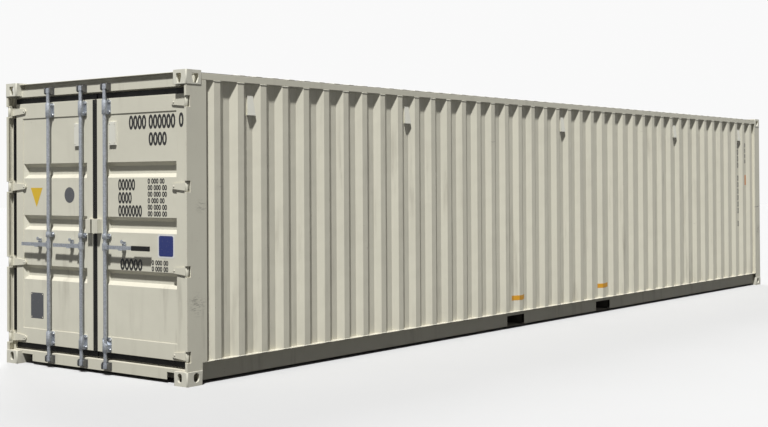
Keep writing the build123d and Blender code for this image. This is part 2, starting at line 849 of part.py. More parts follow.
# Doors
def door_frame(sign):
    """Welded frame of two stiles and two rails."""
    with BuildPart() as frame:
        with BuildSketch(Plane.YZ.offset(leaf_x)):
            with Locations((sign * leaf_middle_y, leaf_middle_z)):
                Rectangle(leaf_width, leaf_height)
                Rectangle(panel_width, panel_height, mode=Mode.SUBTRACT)
        extrude(amount=leaf_thickness)
    return frame


def door_panel(sign):
    """Thin pressed sheet with three pans pushed in, from stile to stile."""
    slope = (groove_height - groove_flat) / 2
    taper = degrees(atan2(slope, groove_depth))
    pan_length = panel_width - 2 * groove_margin
    pans = [(sign * leaf_middle_y, leaf_low + share * leaf_height) for share in groove_height_shares]
    with BuildPart() as panel:
        with BuildSketch(Plane.YZ.offset(door_end + panel_face)):
            with Locations((sign * leaf_middle_y, leaf_middle_z)):
                Rectangle(panel_width, panel_height)
        extrude(amount=sheet)
        with BuildSketch(Plane.YZ.offset(door_end + panel_face + sheet)):
            with Locations(*pans):
                Rectangle(pan_length, groove_height)
        extrude(amount=groove_depth, taper=taper)
        with BuildSketch(Plane.YZ.offset(door_end + panel_face)):
            with Locations(*pans):
                Rectangle(pan_length - sheet, groove_height - sheet)
        extrude(amount=groove_depth, taper=taper, mode=Mode.SUBTRACT)
    return panel


def door_gasket(sign):
    """Rubber lip around the leaf, thinner at its outer edge and short of the frame it closes on."""
    seal_side_reach = leaf_edge - post_inner - seal_clearance
    seal_bottom_reach = leaf_low - sill_ledge - sill_ledge_rise - seal_sill_gap
    seal_top_reach = header_face_low - leaf_high - seal_head_gap
    with BuildPart() as gasket:
        with BuildSketch(Plane.YZ.offset(door_end + seal_front)):
            middle_y = leaf_middle_y + (seal_side_reach - seal_centre_reach) / 2
            middle_z = leaf_middle_z + (seal_top_reach - seal_bottom_reach) / 2
            with Locations((sign * middle_y, middle_z)):
                Rectangle(leaf_width + seal_side_reach + seal_centre_reach,
                          leaf_height + seal_top_reach + seal_bottom_reach)
            with Locations((sign * leaf_middle_y, leaf_middle_z)):
                Rectangle(leaf_width, leaf_height, mode=Mode.SUBTRACT)
        extrude(amount=seal_thickness)
        front_edges = gasket.faces().sort_by(Axis.X)[0].outer_wire().edges()
        chamfer(front_edges, seal_lip)
    return gasket


def door_hinges(sign):
    """Forged leaf-shaped blades on the leaf's face, each with a barrel around its pin."""
    blade_start = leaf_x - blade_thickness
    tip_y = pin_y - blade_reach + blade_tip_radius
    knuckle_y = pin_y - barrel_radius / 2
    with BuildPart() as hinges:
        for height in hinge_heights:
            with BuildSketch(Plane.YZ.offset(blade_start)):
                Polygon(
                    (sign * pin_y, height - blade_height / 2),
                    (sign * pin_y, height + blade_height / 2),
                    (sign * tip_y, height + blade_tip_radius),
                    (sign * tip_y, height - blade_tip_radius),
                    align=None,
                )
                with Locations((sign * tip_y, height)):
                    Circle(blade_tip_radius)
            extrude(amount=blade_thickness)
            with BuildSketch(Plane.XY.offset(height - blade_height / 2)):
                with Locations((pin_x, sign * pin_y)):
                    Circle(barrel_radius)
                with Locations(((pin_x + leaf_x) / 2, sign * knuckle_y)):
                    Rectangle(leaf_x - pin_x, barrel_radius)
            extrude(amount=blade_height)
            with BuildSketch(Plane.XY.offset(height - blade_height / 2)):
                with Locations((pin_x, sign * pin_y)):
                    Circle(pin_radius + pin_play)
            extrude(amount=blade_height, mode=Mode.SUBTRACT)
    return hinges


def door_vent(sign):
    """Framed cover on the panel, open at the bottom."""
    outer_x = door_end + panel_face - door_vent_depth
    middle = sign * door_vent_y
    with BuildPart() as vent:
        with BuildSketch(Plane.YZ.offset(door_end + panel_face)):
            with Locations((middle, door_vent_low + door_vent_height / 2)):
                Rectangle(door_vent_width, door_vent_height)
        extrude(amount=-door_vent_depth, taper=vent_taper)
        block(outer_x + door_vent_wall, door_end + panel_face, middle - door_vent_width / 2 + 2 * door_vent_wall,
              middle + door_vent_width / 2 - 2 * door_vent_wall, door_vent_low,
              door_vent_low + door_vent_height - 3 * door_vent_wall, Mode.SUBTRACT)
    return vent


vent_taper = degrees(atan2(door_vent_wall, door_vent_depth))


def rod_brackets(rods, handles):
    """Pressed covers that hold the rods on the leaf, and the retainer and eye plate of each handle."""
    cover_radius = rod_radius + bracket_play + bracket_wall
    with BuildPart() as brackets:
        for rod_y in rods:
            for height in bracket_heights:
                tall = mid_bracket_height if height == bracket_heights[1] else bracket_height
                with BuildSketch(Plane.YZ.offset(leaf_x - bracket_plate)) as plate_outline:
                    with Locations((rod_y, height)):
                        Rectangle(bracket_width, tall)
                    chamfer(plate_outline.vertices(), bracket_corner)
                extrude(amount=bracket_plate)
                with BuildSketch(Plane.XY.offset(height - tall / 2)):
                    with Locations((rod_x, rod_y)):
                        Circle(cover_radius)
                    with Locations(((rod_x + leaf_x - bracket_plate) / 2, rod_y)):
                        Rectangle(leaf_x - bracket_plate - rod_x, 2 * cover_radius)
                    with Locations((rod_x, rod_y)):
                        Circle(rod_radius + bracket_play, mode=Mode.SUBTRACT)
                extrude(amount=tall)
            if abs(rod_y) == inner_rod_y:
                outward = 1 if rod_y > 0 else -1
                lower, upper = bracket_heights[0], bracket_heights[0] + bracket_height / 2
                with BuildSketch(Plane.YZ.offset(rod_x - cover_radius)):
                    Polygon(
                        (rod_y - outward * cover_radius, upper),
                        (rod_y + outward * cover_radius, upper),
                        (rod_y + outward * cover_radius, lower),
                        align=None,
                    )
                extrude(amount=leaf_x - bracket_plate - rod_x + cover_radius, mode=Mode.SUBTRACT)
        shelf_top = handle_height - handle_bar / 2 - seat_gap
        for handle_y in handles:
            eye_front = leaf_x - eye_stand_off - eye_thickness
            eye_middle = handle_height + eye_rise
            retainer_low = shelf_top - shelf_thickness
            block(leaf_x - retainer_plate, leaf_x, handle_y - retainer_width / 2, handle_y + retainer_width / 2,
                  retainer_low, eye_middle)
            block(leaf_x - shelf_reach, leaf_x - retainer_plate, handle_y - retainer_width / 2,
                  handle_y + retainer_width / 2, retainer_low, shelf_top)
            block(eye_front, leaf_x - retainer_plate, handle_y - eye_thickness / 2, handle_y + eye_thickness / 2,
                  eye_middle - eye_radius, eye_middle)
            with BuildSketch(Plane.YZ.offset(eye_front)):
                with Locations((handle_y, eye_middle)):
                    Circle(eye_radius)
                    Circle(eye_hole, mode=Mode.SUBTRACT)
            extrude(amount=eye_thickness)
    return brackets


def lock_box(sign, far_edge):
    """Half of the hood over the padlock place, open at the bottom and towards the gap."""
    near, far = sorted((sign * box_gap, sign * far_edge))
    with BuildPart() as box:
        block(leaf_x - box_depth, leaf_x, near, far, box_low, box_high)
        open_low, open_high = sorted((sign * box_gap, sign * (far_edge - box_wall)))
        block(leaf_x - box_depth + box_wall, leaf_x, open_low, open_high, box_low, box_high - box_wall,
              Mode.SUBTRACT)
    return box


door_rods = {"right": (-inner_rod_y,), "left": (inner_rod_y, outer_rod_y)}
door_retainers = {
    "right": (-inner_rod_y - right_retainer_reach,),
    "left": (inner_rod_y + left_retainer_reach, outer_rod_y + left_retainer_reach),
}
box_edges = {"right": box_right_edge, "left": box_left_edge}
for side, sign in (("right", -1), ("left", 1)):
    pieces = {
        "door_frame": door_frame(sign),
        "door_panel": door_panel(sign),
        "door_gasket": door_gasket(sign),
        "door_hinges": door_hinges(sign),
        "door_vent": door_vent(sign),
        "rod_brackets": rod_brackets(door_rods[side], door_retainers[side]),
        "lock_box": lock_box(sign, box_edges[side]),
    }
    for name, piece in pieces.items():
        piece.part.label = side + "_" + name
        export_step(piece.part, "parts/" + side + "_" + name + ".step")


# Lock rods: a bar with a cam at each end and the hub that carries the handle
def lock_rod(rod_y, sign):
    """One rod; its cams and its fork point away from the gap between the doors."""
    with BuildPart() as rod:
        with BuildSketch(Plane.XY.offset(rod_low)):
            with Locations((rod_x, rod_y)):
                Circle(rod_radius)
        extrude(amount=rod_high - rod_low)
        for middle in (keeper_low_middle, keeper_high_middle):
            with BuildSketch(Plane.XY.offset(middle - cam_height / 2)):
                with Locations((rod_x, rod_y)):
                    Circle(cam_radius)
                with Locations((rod_x, rod_y + sign * cam_nose / 2)):
                    Rectangle(cam_nose_width, cam_nose)
            extrude(amount=cam_height)
        noses = rod.faces().filter_by(Axis.Y).group_by(Axis.Y)[-1 if sign > 0 else 0]
        chamfer(noses.edges(), cam_bevel)
        with BuildSketch(Plane.XY.offset(handle_height - hub_height / 2)):
            with Locations((rod_x, rod_y)):
                Circle(hub_radius)
        extrude(amount=hub_height)
        handle_front = door_end + handle_from_end
        handle_back = handle_front + handle_thickness
        y_low, y_high = sorted((rod_y, rod_y + sign * fork_reach))
        for low in (handle_front - fork_gap - fork_plate, handle_back + fork_gap):
            block(low, low + fork_plate, y_low, y_high, handle_height - fork_height / 2,
                  handle_height + fork_height / 2)
        pin_start = handle_front - fork_gap - fork_plate
        with BuildSketch(Plane.YZ.offset(pin_start)):
            with Locations((rod_y + sign * handle_pivot_reach, handle_height)):
                Circle(pivot_radius)
        extrude(amount=handle_thickness + 2 * (fork_gap + fork_plate))
    return rod


# Handles: a flat bar with a round end on the pivot
def lock_handle(rod_y, sign, reach):
    with BuildPart() as handle:
        with BuildSketch(Plane.YZ.offset(door_end + handle_from_end)):
            with Locations((rod_y + sign * handle_pivot_reach, handle_height)):
                Circle(handle_round)
            with Locations((rod_y + sign * (handle_pivot_reach + reach) / 2, handle_height)):
                Rectangle(reach - handle_pivot_reach, handle_bar)
            with Locations((rod_y + sign * handle_pivot_reach, handle_height)):
                Circle(pivot_radius + pin_play, mode=Mode.SUBTRACT)
        extrude(amount=handle_thickness)
    return handle


for name, rod_y in rod_places:
    sign = 1 if rod_y > 0 else -1
    rod = lock_rod(rod_y, sign)
    rod.part.label = name + "_lock_rod"
    export_step(rod.part, "parts/" + name + "_lock_rod.step")
    reach = left_handle_length if sign > 0 else right_handle_length
    handle = lock_handle(rod_y, sign, reach)
    handle.part.label = name + "_handle"
    export_step(handle.part, "parts/" + name + "_handle.step")

# Rubber grip around the end of the right handle
with BuildPart() as right_handle_grip:
    grip_far = -inner_rod_y - right_handle_length
    grip_middle_x = door_end + handle_from_end + handle_thickness / 2
    with BuildSketch(Plane.XZ.offset(-grip_far - grip_length)):
        with Locations((grip_middle_x, handle_height)):
            RectangleRounded(handle_thickness + 2 * grip_wall, grip_height, grip_wall)
            Rectangle(handle_thickness, handle_bar, mode=Mode.SUBTRACT)
    extrude(amount=grip_length)
    with BuildSketch(Plane.XZ.offset(-grip_far)):
        with Locations((grip_middle_x, handle_height)):
            RectangleRounded(handle_thickness + 2 * grip_wall, grip_height, grip_wall)
    extrude(amount=grip_wall)
right_handle_grip.part.label = "right_handle_grip"
export_step(right_handle_grip.part, "parts/right_handle_grip.step")
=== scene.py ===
"""Looks of a 40 ft steel shipping container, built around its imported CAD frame.

The container stands on a pale studio floor. Length runs along X with the doors at -X, in metres.
"""
from __future__ import annotations

import json
import logging
import math
import random
from dataclasses import dataclass, field
from enum import Enum
from functools import cached_property
from itertools import product

import bmesh
import bpy
from bmesh.types import BMesh, BMVert
from bpy.types import ID, Material, Mesh, Node, NodeSocket, NodeTree, Object
from mathutils import Matrix, Vector

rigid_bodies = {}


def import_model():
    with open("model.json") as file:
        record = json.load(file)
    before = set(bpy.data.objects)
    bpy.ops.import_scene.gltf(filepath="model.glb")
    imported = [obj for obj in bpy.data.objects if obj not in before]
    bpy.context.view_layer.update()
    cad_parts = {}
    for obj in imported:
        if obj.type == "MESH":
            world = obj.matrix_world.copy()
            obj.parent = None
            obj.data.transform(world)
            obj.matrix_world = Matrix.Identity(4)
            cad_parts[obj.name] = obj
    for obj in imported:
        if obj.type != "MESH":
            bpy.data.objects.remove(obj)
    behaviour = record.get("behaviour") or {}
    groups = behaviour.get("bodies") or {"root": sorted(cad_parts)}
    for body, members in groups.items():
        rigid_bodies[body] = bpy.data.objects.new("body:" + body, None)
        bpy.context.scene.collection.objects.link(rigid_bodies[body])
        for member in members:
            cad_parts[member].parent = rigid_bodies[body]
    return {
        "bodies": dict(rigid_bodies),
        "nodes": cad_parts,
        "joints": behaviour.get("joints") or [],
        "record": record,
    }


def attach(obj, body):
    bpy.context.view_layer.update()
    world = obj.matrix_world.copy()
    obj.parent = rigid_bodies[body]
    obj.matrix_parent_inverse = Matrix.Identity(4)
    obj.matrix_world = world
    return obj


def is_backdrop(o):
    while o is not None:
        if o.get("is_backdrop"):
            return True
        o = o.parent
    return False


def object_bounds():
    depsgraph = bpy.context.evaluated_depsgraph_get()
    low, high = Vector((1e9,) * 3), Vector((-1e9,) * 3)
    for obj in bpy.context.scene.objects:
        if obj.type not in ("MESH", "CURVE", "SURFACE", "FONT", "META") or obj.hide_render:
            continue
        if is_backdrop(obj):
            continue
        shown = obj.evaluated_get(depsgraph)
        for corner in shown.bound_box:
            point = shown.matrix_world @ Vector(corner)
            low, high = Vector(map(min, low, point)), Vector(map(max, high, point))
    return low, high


LOG = logging.getLogger("container")
PHOTO_WIDTH = 768
PHOTO_HEIGHT = 427
HAIR_GAP = 0.0002
FILM = 0.0004
DIGIT_SHARE = 0.70
STROKE_SHARE = 0.05

Pair = tuple[float, float]
Triple = tuple[float, float, float]
Colour = Triple
Outline = list[Pair]


class Socket(Enum):
    """Socket kinds that the node groups use."""

    VALUE = "NodeSocketFloat"
    VECTOR = "NodeSocketVector"


class Hand(Enum):
    """The two sides of the container, by the sign of Y."""

    RIGHT = -1
    LEFT = 1

    @property
    def side(self) -> str:
        """Name of this side."""
        return self.name.lower()

    @property
    def door(self) -> str:
        """Name of the door body on this side."""
        return self.side + "_door"


class Facing(Enum):
    """Where a face looks that small pieces stand on."""

    DOORS = (-1.0, 0.0, 0.0)
    FLOOR = (0.0, 0.0, 1.0)

    def at(self, x: float, y: float, z: float) -> Matrix:
        """Places something on the face, with its own Z out of the face."""
        turn = Vector(self.value).to_track_quat("Z", "Y").to_matrix()
        return Matrix.Translation((x, y, z)) @ turn.to_4x4()


class Tone(Enum):
    """Colours of dirt, dust, rust and worn places."""

    RAIN_GRIME = (0.16, 0.135, 0.10)
    ROAD_DIRT = (0.22, 0.185, 0.135)
    RUST_RUN = (0.27, 0.15, 0.075)
    RUST_CHIP = (0.115, 0.045, 0.022)
    RUB = (0.09, 0.085, 0.08)
    SPOT_RUB = (0.10, 0.085, 0.07)
    DUST = (0.33, 0.30, 0.24)
    WORN_STEEL = (0.17, 0.085, 0.045)
    WORN_CASTING = (0.76, 0.75, 0.70)
    ZINC_STAIN = (0.19, 0.13, 0.085)
    ZINC_SHINE = (0.60, 0.62, 0.64)
    RUBBER_BLOOM = (0.035, 0.034, 0.031)
    RUBBER_DUST = (0.20, 0.18, 0.15)
    WOOD_LIGHT = (0.34, 0.20, 0.105)
    WOOD_RUB = (0.06, 0.045, 0.035)
    WOOD_DUST = (0.30, 0.25, 0.19)
    FILM_FADE = (0.42, 0.40, 0.34)
    FILM_GRIME = (0.15, 0.13, 0.10)


class NodeBench:
    """Adds and links nodes in one node tree, left to right."""

    spacing = 180

    def __init__(self, tree: NodeTree) -> None:
        """Takes the tree to fill, which is a material's, a world's or a group's."""
        self.tree = tree

    def add(self, kind: str, inputs: dict[str | int, object] | None = None, **settings: object) -> Node:
        """Adds a node.

        Args:
            kind: Blender's node type name.
            inputs: A value or an output for each input, by name or number.
            settings: Properties to set on the node first.

        Returns:
            The new node.
        """
        node = self.tree.nodes.new(kind)
        node.location.x = self.spacing * len(self.tree.nodes)
        for name, value in settings.items():
            setattr(node, name, value)
        for name, value in (inputs or {}).items():
            self.feed(node.inputs[name], value)
        return node

    def feed(self, target: NodeSocket, value: object) -> None:
        """Sets an input to a value, or links it where the value is an output."""
        if isinstance(value, NodeSocket):
            self.tree.links.new(value, target)
        else:
            target.default_value = value

    def math(self, operation: str, first: object, second: object, clamp: bool = False) -> NodeSocket:
        """Adds a Math node.

        Args:
            operation: Blender's name of the operation.
            first: A value or an output.
            second: The same.
            clamp: Whether the result is kept from 0 to 1.

        Returns:
            The result.
        """
        inputs = {0: first, 1: second}
        return self.add("ShaderNodeMath", inputs, operation=operation, use_clamp=clamp).outputs[0]

    def chain(self, operation: str, values: tuple[object, ...]) -> NodeSocket:
        """Applies one operation through all values, and keeps the last result from 0 to 1."""
        whole = values[0]
        for value in values[1:-1]:
            whole = self.math(operation, whole, value)
        return self.math(operation, whole, values[-1], clamp=True)

    def times(self, *values: object) -> NodeSocket:
        """Multiplies two values or more."""
        return self.chain("MULTIPLY", values)

    def plus(self, *values: object) -> NodeSocket:
        """Adds two values or more."""
        return self.chain("ADD", values)

    def rest(self, value: object) -> NodeSocket:
        """What a value leaves of 1."""
        return self.math("SUBTRACT", 1.0, value)

    def noise(self, vector: object, scale: object, detail: float = 4.0,
              roughness: float = 0.55) -> NodeSocket:
        """Adds a noise texture and returns its value."""
        inputs = {"Vector": vector, "Scale": scale, "Detail": detail, "Roughness": roughness}
        return self.add("ShaderNodeTexNoise", inputs).outputs["Fac"]

    def patches(self, vector: object, scale: object, edges: Pair, **grain: float) -> NodeSocket:
        """Noise cut to patches, which fade in from the first edge to the second."""
        return self.band(self.noise(vector, scale, **grain), *edges)

    def stretch(self, vector: NodeSocket, factors: Triple) -> NodeSocket:
        """Scales a vector by three factors."""
        return self.add("ShaderNodeVectorMath", {0: vector, 1: factors}, operation="MULTIPLY").outputs[0]

    def rise(self, vector: NodeSocket) -> NodeSocket:
        """The Z part of a vector."""
        return self.add("ShaderNodeSeparateXYZ", {0: vector}).outputs["Z"]

    def band(self, value: object, low: object, high: object) -> NodeSocket:
        """Smooth step of a value from 0 at low to 1 at high."""
        inputs = {"Value": value, "From Min": low, "From Max": high}
        return self.add("ShaderNodeMapRange", inputs, interpolation_type="SMOOTHSTEP").outputs["Result"]

    def spread(self, value: object, low: object, high: object) -> NodeSocket:
        """Maps a value of 0 to 1 onto a range."""
        inputs = {"Value": value, "To Min": low, "To Max": high}
        return self.add("ShaderNodeMapRange", inputs).outputs["Result"]


class EffectGroup(NodeBench):
    """A shader node group that turns a place and named amounts into masks and values."""

    def __init__(self, name: str, **inputs: float | Triple) -> None:
        """Makes the group and its inputs.

        Args:
            name: The group's name.
            inputs: Default of each input after Vector. Three numbers make a vector.
        """
        super().__init__(bpy.data.node_groups.new(name, "ShaderNodeTree"))
        inputs = {"Vector": (0.0, 0.0, 0.0), **inputs}
        for label, default in inputs.items():
            kind = Socket.VECTOR if isinstance(default, tuple) else Socket.VALUE
            socket = self.tree.interface.new_socket(label, in_out="INPUT", socket_type=kind.value)
            socket.default_value = default
        start = self.add("NodeGroupInput")
        self.given = [start.outputs[label] for label in inputs]

    def close(self, **outputs: NodeSocket) -> NodeTree:
        """Sends values out of the group by name, and returns its finished tree."""
        for label in outputs:
            self.tree.interface.new_socket(label, in_out="OUTPUT", socket_type=Socket.VALUE.value)
        self.add("NodeGroupOutput", outputs)
        return self.tree


class Effects:
    """The weathering effects that the materials share, each built when first asked for."""

    @cached_property
    def streaks(self) -> NodeTree:
        """Runs of dirt that rain has drawn down a face."""
        group = EffectGroup("Rain streaks", Scale=9.0, Amount=0.5)
        place, scale, amount = group.given
        tall = group.stretch(place, (1.0, 1.0, 0.09))
        runs = group.patches(tall, scale, edges=(0.50, 0.74), detail=6.0, roughness=0.62)
        areas = group.patches(place, 0.7, edges=(0.38, 0.66), detail=3.0)
        return group.close(Mask=group.times(runs, areas, amount))

    @cached_property
    def edge_wear(self) -> NodeTree:
        """Worn paint along convex edges, broken up by noise. On the castings the same edge mask carries a
        pale painted highlight.
        """
        group = EffectGroup("Edge wear", Radius=0.004, Amount=0.5)
        place, radius, amount = group.given
        rounded = group.add("ShaderNodeBevel", {"Radius": radius}, samples=4).outputs["Normal"]
        sharp = group.add("ShaderNodeNewGeometry").outputs["Normal"]
        likeness = group.add("ShaderNodeVectorMath", {0: rounded, 1: sharp}, operation="DOT_PRODUCT")
        edge = group.band(group.rest(likeness.outputs["Value"]), 0.02, 0.16)
        breakup = group.patches(place, 34.0, edges=(0.47, 0.60), detail=5.0, roughness=0.7)
        return group.close(Mask=group.times(edge, breakup, amount))

    @cached_property
    def dust(self) -> NodeTree:
        """Dust that lies on faces that look up. In the paints it also darkens up-facing faces as painted
        shade against the key light from above.
        """
        group = EffectGroup("Dust", Amount=0.4)
        place, amount = group.given
        normal = group.add("ShaderNodeNewGeometry").outputs["Normal"]
        upward = group.band(group.rise(normal), 0.35, 0.95)
        clouds = group.spread(group.noise(place, 5.0, detail=6.0), 0.6, 1.0)
        return group.close(Mask=group.times(upward, clouds, amount))

    @cached_property
    def scuffs(self) -> NodeTree:
        """Short dark rubs and thin scratches that run level."""
        group = EffectGroup("Scuffs", Scale=3.0, Amount=0.4)
        place, scale, amount = group.given
        level = group.stretch(place, (1.0, 1.0, 7.0))
        rubs = group.patches(level, scale, edges=(0.655, 0.70), detail=8.0, roughness=0.72)
        areas = group.patches(place, 1.7, edges=(0.50, 0.60), detail=2.0)
        return group.close(Mask=group.times(rubs, areas, amount))

    @cached_property
    def spot(self) -> NodeTree:
        """A rub at one place, with a ragged edge."""
        group = EffectGroup("Scuff spot", Centre=(0.0, 0.0, 0.0), Radius=0.1, Amount=0.6)
        place, centre, radius, amount = group.given
        reach = group.add("ShaderNodeVectorMath", {0: place, 1: centre}, operation="DISTANCE")
        level = group.stretch(place, (1.0, 1.0, 5.0))
        scratches = group.patches(level, 20.0, edges=(0.48, 0.60), detail=9.0, roughness=0.75)
        share = group.math("DIVIDE", reach.outputs["Value"], radius)
        inside = group.rest(group.band(share, 0.15, 1.0))
        return group.close(Mask=group.times(scratches, inside, amount))

    @cached_property
    def splash(self) -> NodeTree:
        """Road dirt that thins out upwards from the ground."""
        group = EffectGroup("Road splash", Reach=0.65, Amount=0.4)
        place, reach, amount = group.given
        share = group.math("DIVIDE", group.rise(place), reach)
        clouds = group.noise(group.stretch(place, (1.0, 1.0, 0.35)), 3.2, detail=8.0, roughness=0.65)
        level = group.math("ADD", share, group.math("SUBTRACT", clouds, 0.5))
        return group.close(Mask=group.times(group.rest(group.band(level, 0.0, 0.85)), amount))

    @cached_property
    def specks(self) -> NodeTree:
        """Small rust chips, and the faint run of rust below each."""
        group = EffectGroup("Rust specks", Scale=22.0, Amount=0.5)
        place, scale, amount = group.given
        areas = group.patches(place, 2.1, edges=(0.52, 0.66), detail=3.0)
        chips = group.patches(place, scale, edges=(0.67, 0.71), detail=6.0, roughness=0.7)
        runs = group.patches(group.stretch(place, (1.0, 1.0, 0.12)), scale, edges=(0.60, 0.78))
        return group.close(Chips=group.times(chips, areas, amount), Runs=group.times(runs, areas, amount))

    @cached_property
    def paint_skin(self) -> NodeTree:
        """Fine unevenness of sprayed paint over pressed sheet: a tint, a gloss change and a height."""
        group = EffectGroup("Paint skin", Dents=0.5)
        place, amount = group.given
        tint = group.spread(group.noise(place, 1.3, detail=5.0), 0.90, 1.08)
        gloss = group.spread(group.noise(place, 14.0, detail=5.0), -0.07, 0.09)
        dents = group.times(group.noise(place, 6.0, detail=2.0, roughness=0.4), amount)
        peel = group.times(group.noise(place, 420.0, detail=2.0), 0.02)
        return group.close(Tint=tint, Gloss=gloss, Height=group.math("ADD", dents, peel))

    @cached_property
    def spangle(self) -> NodeTree:
        """Crystal pattern of hot-dip zinc."""
        group = EffectGroup("Zinc spangle", Scale=90.0)
        place, scale = group.given
        cells = group.add("ShaderNodeTexVoronoi", {"Vector": place, "Scale": scale})
        shades = group.add("ShaderNodeSeparateColor", {0: cells.outputs["Color"]}).outputs
        tint = group.spread(shades[0], 0.82, 1.12)
        return group.close(Tint=tint, Gloss=group.spread(shades[1], -0.10, 0.10))


class MaterialBench(NodeBench):
    """Builds one material around a Principled shader, at the object's own coordinates."""

    def __init__(self, name: str) -> None:
        """Starts the material with its name."""
        self.material = bpy.data.materials.new(name)
        self.material.use_nodes = True
        self.material.node_tree.nodes.clear()
        super().__init__(self.material.node_tree)
        self.shader = self.add("ShaderNodeBsdfPrincipled")
        self.add("ShaderNodeOutputMaterial", {"Surface": self.shader.outputs["BSDF"]})
        self.place = self.add("ShaderNodeTexCoord").outputs["Object"]

    def effect(self, group: NodeTree, **inputs: object) -> dict[str, NodeSocket]:
        """Places a shared effect.

        Args:
            group: The effect's tree.
            inputs: Its inputs by name.

        Returns:
            Its outputs by name.
        """
        node = self.add("ShaderNodeGroup", {"Vector": self.place, **inputs}, node_tree=group)
        return {output.name: output for output in node.outputs}

    def tinted(self, colour: Colour, tint: NodeSocket) -> NodeSocket:
        """Scales a colour by a tint."""
        return self.add("ShaderNodeVectorMath", {0: colour, "Scale": tint}, operation="SCALE").outputs[0]

    def cover(self, under: NodeSocket | Colour, mask: NodeSocket, tone: Tone) -> NodeSocket:
        """Lays a tone over a colour, where the mask is 1."""
        base = under if isinstance(under, NodeSocket) else (*under, 1.0)
        inputs = {"Factor": mask, "A": base, "B": (*tone.value, 1.0)}
        return self.add("ShaderNodeMix", inputs, data_type="RGBA").outputs["Result"]

    def bump(self, height: NodeSocket, strength: float, distance: float) -> None:
        """Roughens the surface by a height."""
        inputs = {"Height": height, "Strength": strength, "Distance": distance}
        self.feed(self.shader.inputs["Normal"], self.add("ShaderNodeBump", inputs).outputs[0])

    def finish(self, colour: NodeSocket, roughness: object) -> Material:
        """Feeds the shader's colour and roughness, and returns the material."""
        self.feed(self.shader.inputs["Base Color"], colour)
        self.feed(self.shader.inputs["Roughness"], roughness)
        return self.material


@dataclass(frozen=True)
class PaintFinish:
    """Sprayed paint on steel, with its dirt and wear, painted shade on up-facing faces, and on the castings a
    painted highlight along the edges. A spot is X, Y, Z and radius of one rub.
    """

    name: str
    colour: Colour
    roughness: float = 0.48
    streaks: float = 0.38
    wear: float = 0.55
    wear_radius: float = 0.004
    scuffs: float = 0.35
    dust: float = 0.75
    dents: float = 0.35
    dent_height: float = 0.004
    bare: Tone = Tone.WORN_STEEL
    spots: tuple[tuple[float, float, float, float], ...] = ()
    splash: float = 0.10
    rust: float = 0.35

    def build(self, effects: Effects) -> Material:
        """Makes the material.

        Args:
            effects: The shared node groups.

        Returns:
            The finished material.
        """
        bench = MaterialBench(self.name)
        skin = bench.effect(effects.paint_skin, Dents=self.dents)
        streaks = bench.effect(effects.streaks, Amount=self.streaks)["Mask"]
        splash = bench.effect(effects.splash, Amount=self.splash)["Mask"]
        specks = bench.effect(effects.specks, Amount=self.rust)
        scuffs = bench.effect(effects.scuffs, Amount=self.scuffs)["Mask"]
        dust = bench.effect(effects.dust, Amount=self.dust)["Mask"]
        wear = bench.effect(effects.edge_wear, Radius=self.wear_radius, Amount=self.wear)["Mask"]
        colour = bench.cover(bench.tinted(self.colour, skin["Tint"]), streaks, Tone.RAIN_GRIME)
        colour = bench.cover(colour, splash, Tone.ROAD_DIRT)
        colour = bench.cover(colour, bench.times(specks["Runs"], 0.45), Tone.RUST_RUN)
        colour = bench.cover(colour, specks["Chips"], Tone.RUST_CHIP)
        colour = bench.cover(colour, scuffs, Tone.RUB)
        for x, y, z, radius in self.spots:
            spot = bench.effect(effects.spot, Centre=(x, y, z), Radius=radius)["Mask"]
            colour = bench.cover(colour, spot, Tone.SPOT_RUB)
        # The dust tone on up-facing faces is partly real dust and partly painted shade that darkens tops
        # under the key light.
        colour = bench.cover(colour, dust, Tone.DUST)
        # On most paints this edge tone is bare steel; on the castings it is a pale painted highlight along
        # the edges.
        colour = bench.cover(colour, wear, self.bare)
        bare = bench.math("MAXIMUM", wear, specks["Chips"])
        rough = bench.plus(self.roughness, skin["Gloss"], bench.times(dust, 0.35), bench.times(splash, 0.3),
                           bench.times(bare, 0.25))
        height = bench.math("SUBTRACT", skin["Height"], bench.times(bare, 0.1))
        bench.bump(height, strength=0.5, distance=self.dent_height)
        return bench.finish(colour, rough)


@dataclass(frozen=True)
class ZincFinish:
    """Hot-dip galvanised steel, dulled by weather."""

    name: str
    colour: Colour = (0.40, 0.425, 0.46)
    roughness: float = 0.42
    metallic: float = 0.75
    rust: float = 0.35

    def build(self, effects: Effects) -> Material:
        """Makes the material from the shared node groups."""
        bench = MaterialBench(self.name)
        bench.shader.inputs["Metallic"].default_value = self.metallic
        spangle = bench.effect(effects.spangle)
        streaks = bench.effect(effects.streaks, Scale=26.0, Amount=self.rust)["Mask"]
        wear = bench.effect(effects.edge_wear, Radius=0.003, Amount=0.35)["Mask"]
        stained = bench.cover(bench.tinted(self.colour, spangle["Tint"]), streaks, Tone.ZINC_STAIN)
        rough = bench.plus(self.roughness, spangle["Gloss"], bench.times(streaks, 0.4))
        bench.bump(bench.noise(bench.place, 140.0), strength=0.35, distance=0.0008)
        return bench.finish(bench.cover(stained, wear, Tone.ZINC_SHINE), rough)


@dataclass(frozen=True)
class RubberFinish:
    """Black rubber with a bloom of dust."""

    name: str
    colour: Colour = (0.008, 0.008, 0.0078)
    roughness_range: Pair = (0.60, 0.84)
    gloss: float = 0.25
    dust: float = 0.55

    def build(self, effects: Effects) -> Material:
        """Makes the material from the shared node groups."""
        bench = MaterialBench(self.name)
        bench.shader.inputs["Specular IOR Level"].default_value = self.gloss
        dust = bench.effect(effects.dust, Amount=self.dust)["Mask"]
        bloom = bench.patches(bench.place, 11.0, edges=(0.45, 0.75), detail=6.0, roughness=0.65)
        bloomed = bench.cover(self.colour, bench.times(bloom, 0.35), Tone.RUBBER_BLOOM)
        bench.bump(bench.noise(bench.place, 260.0, detail=3.0), strength=0.3, distance=0.0006)
        colour = bench.cover(bloomed, dust, Tone.RUBBER_DUST)
        return bench.finish(colour, bench.spread(bloom, *self.roughness_range))


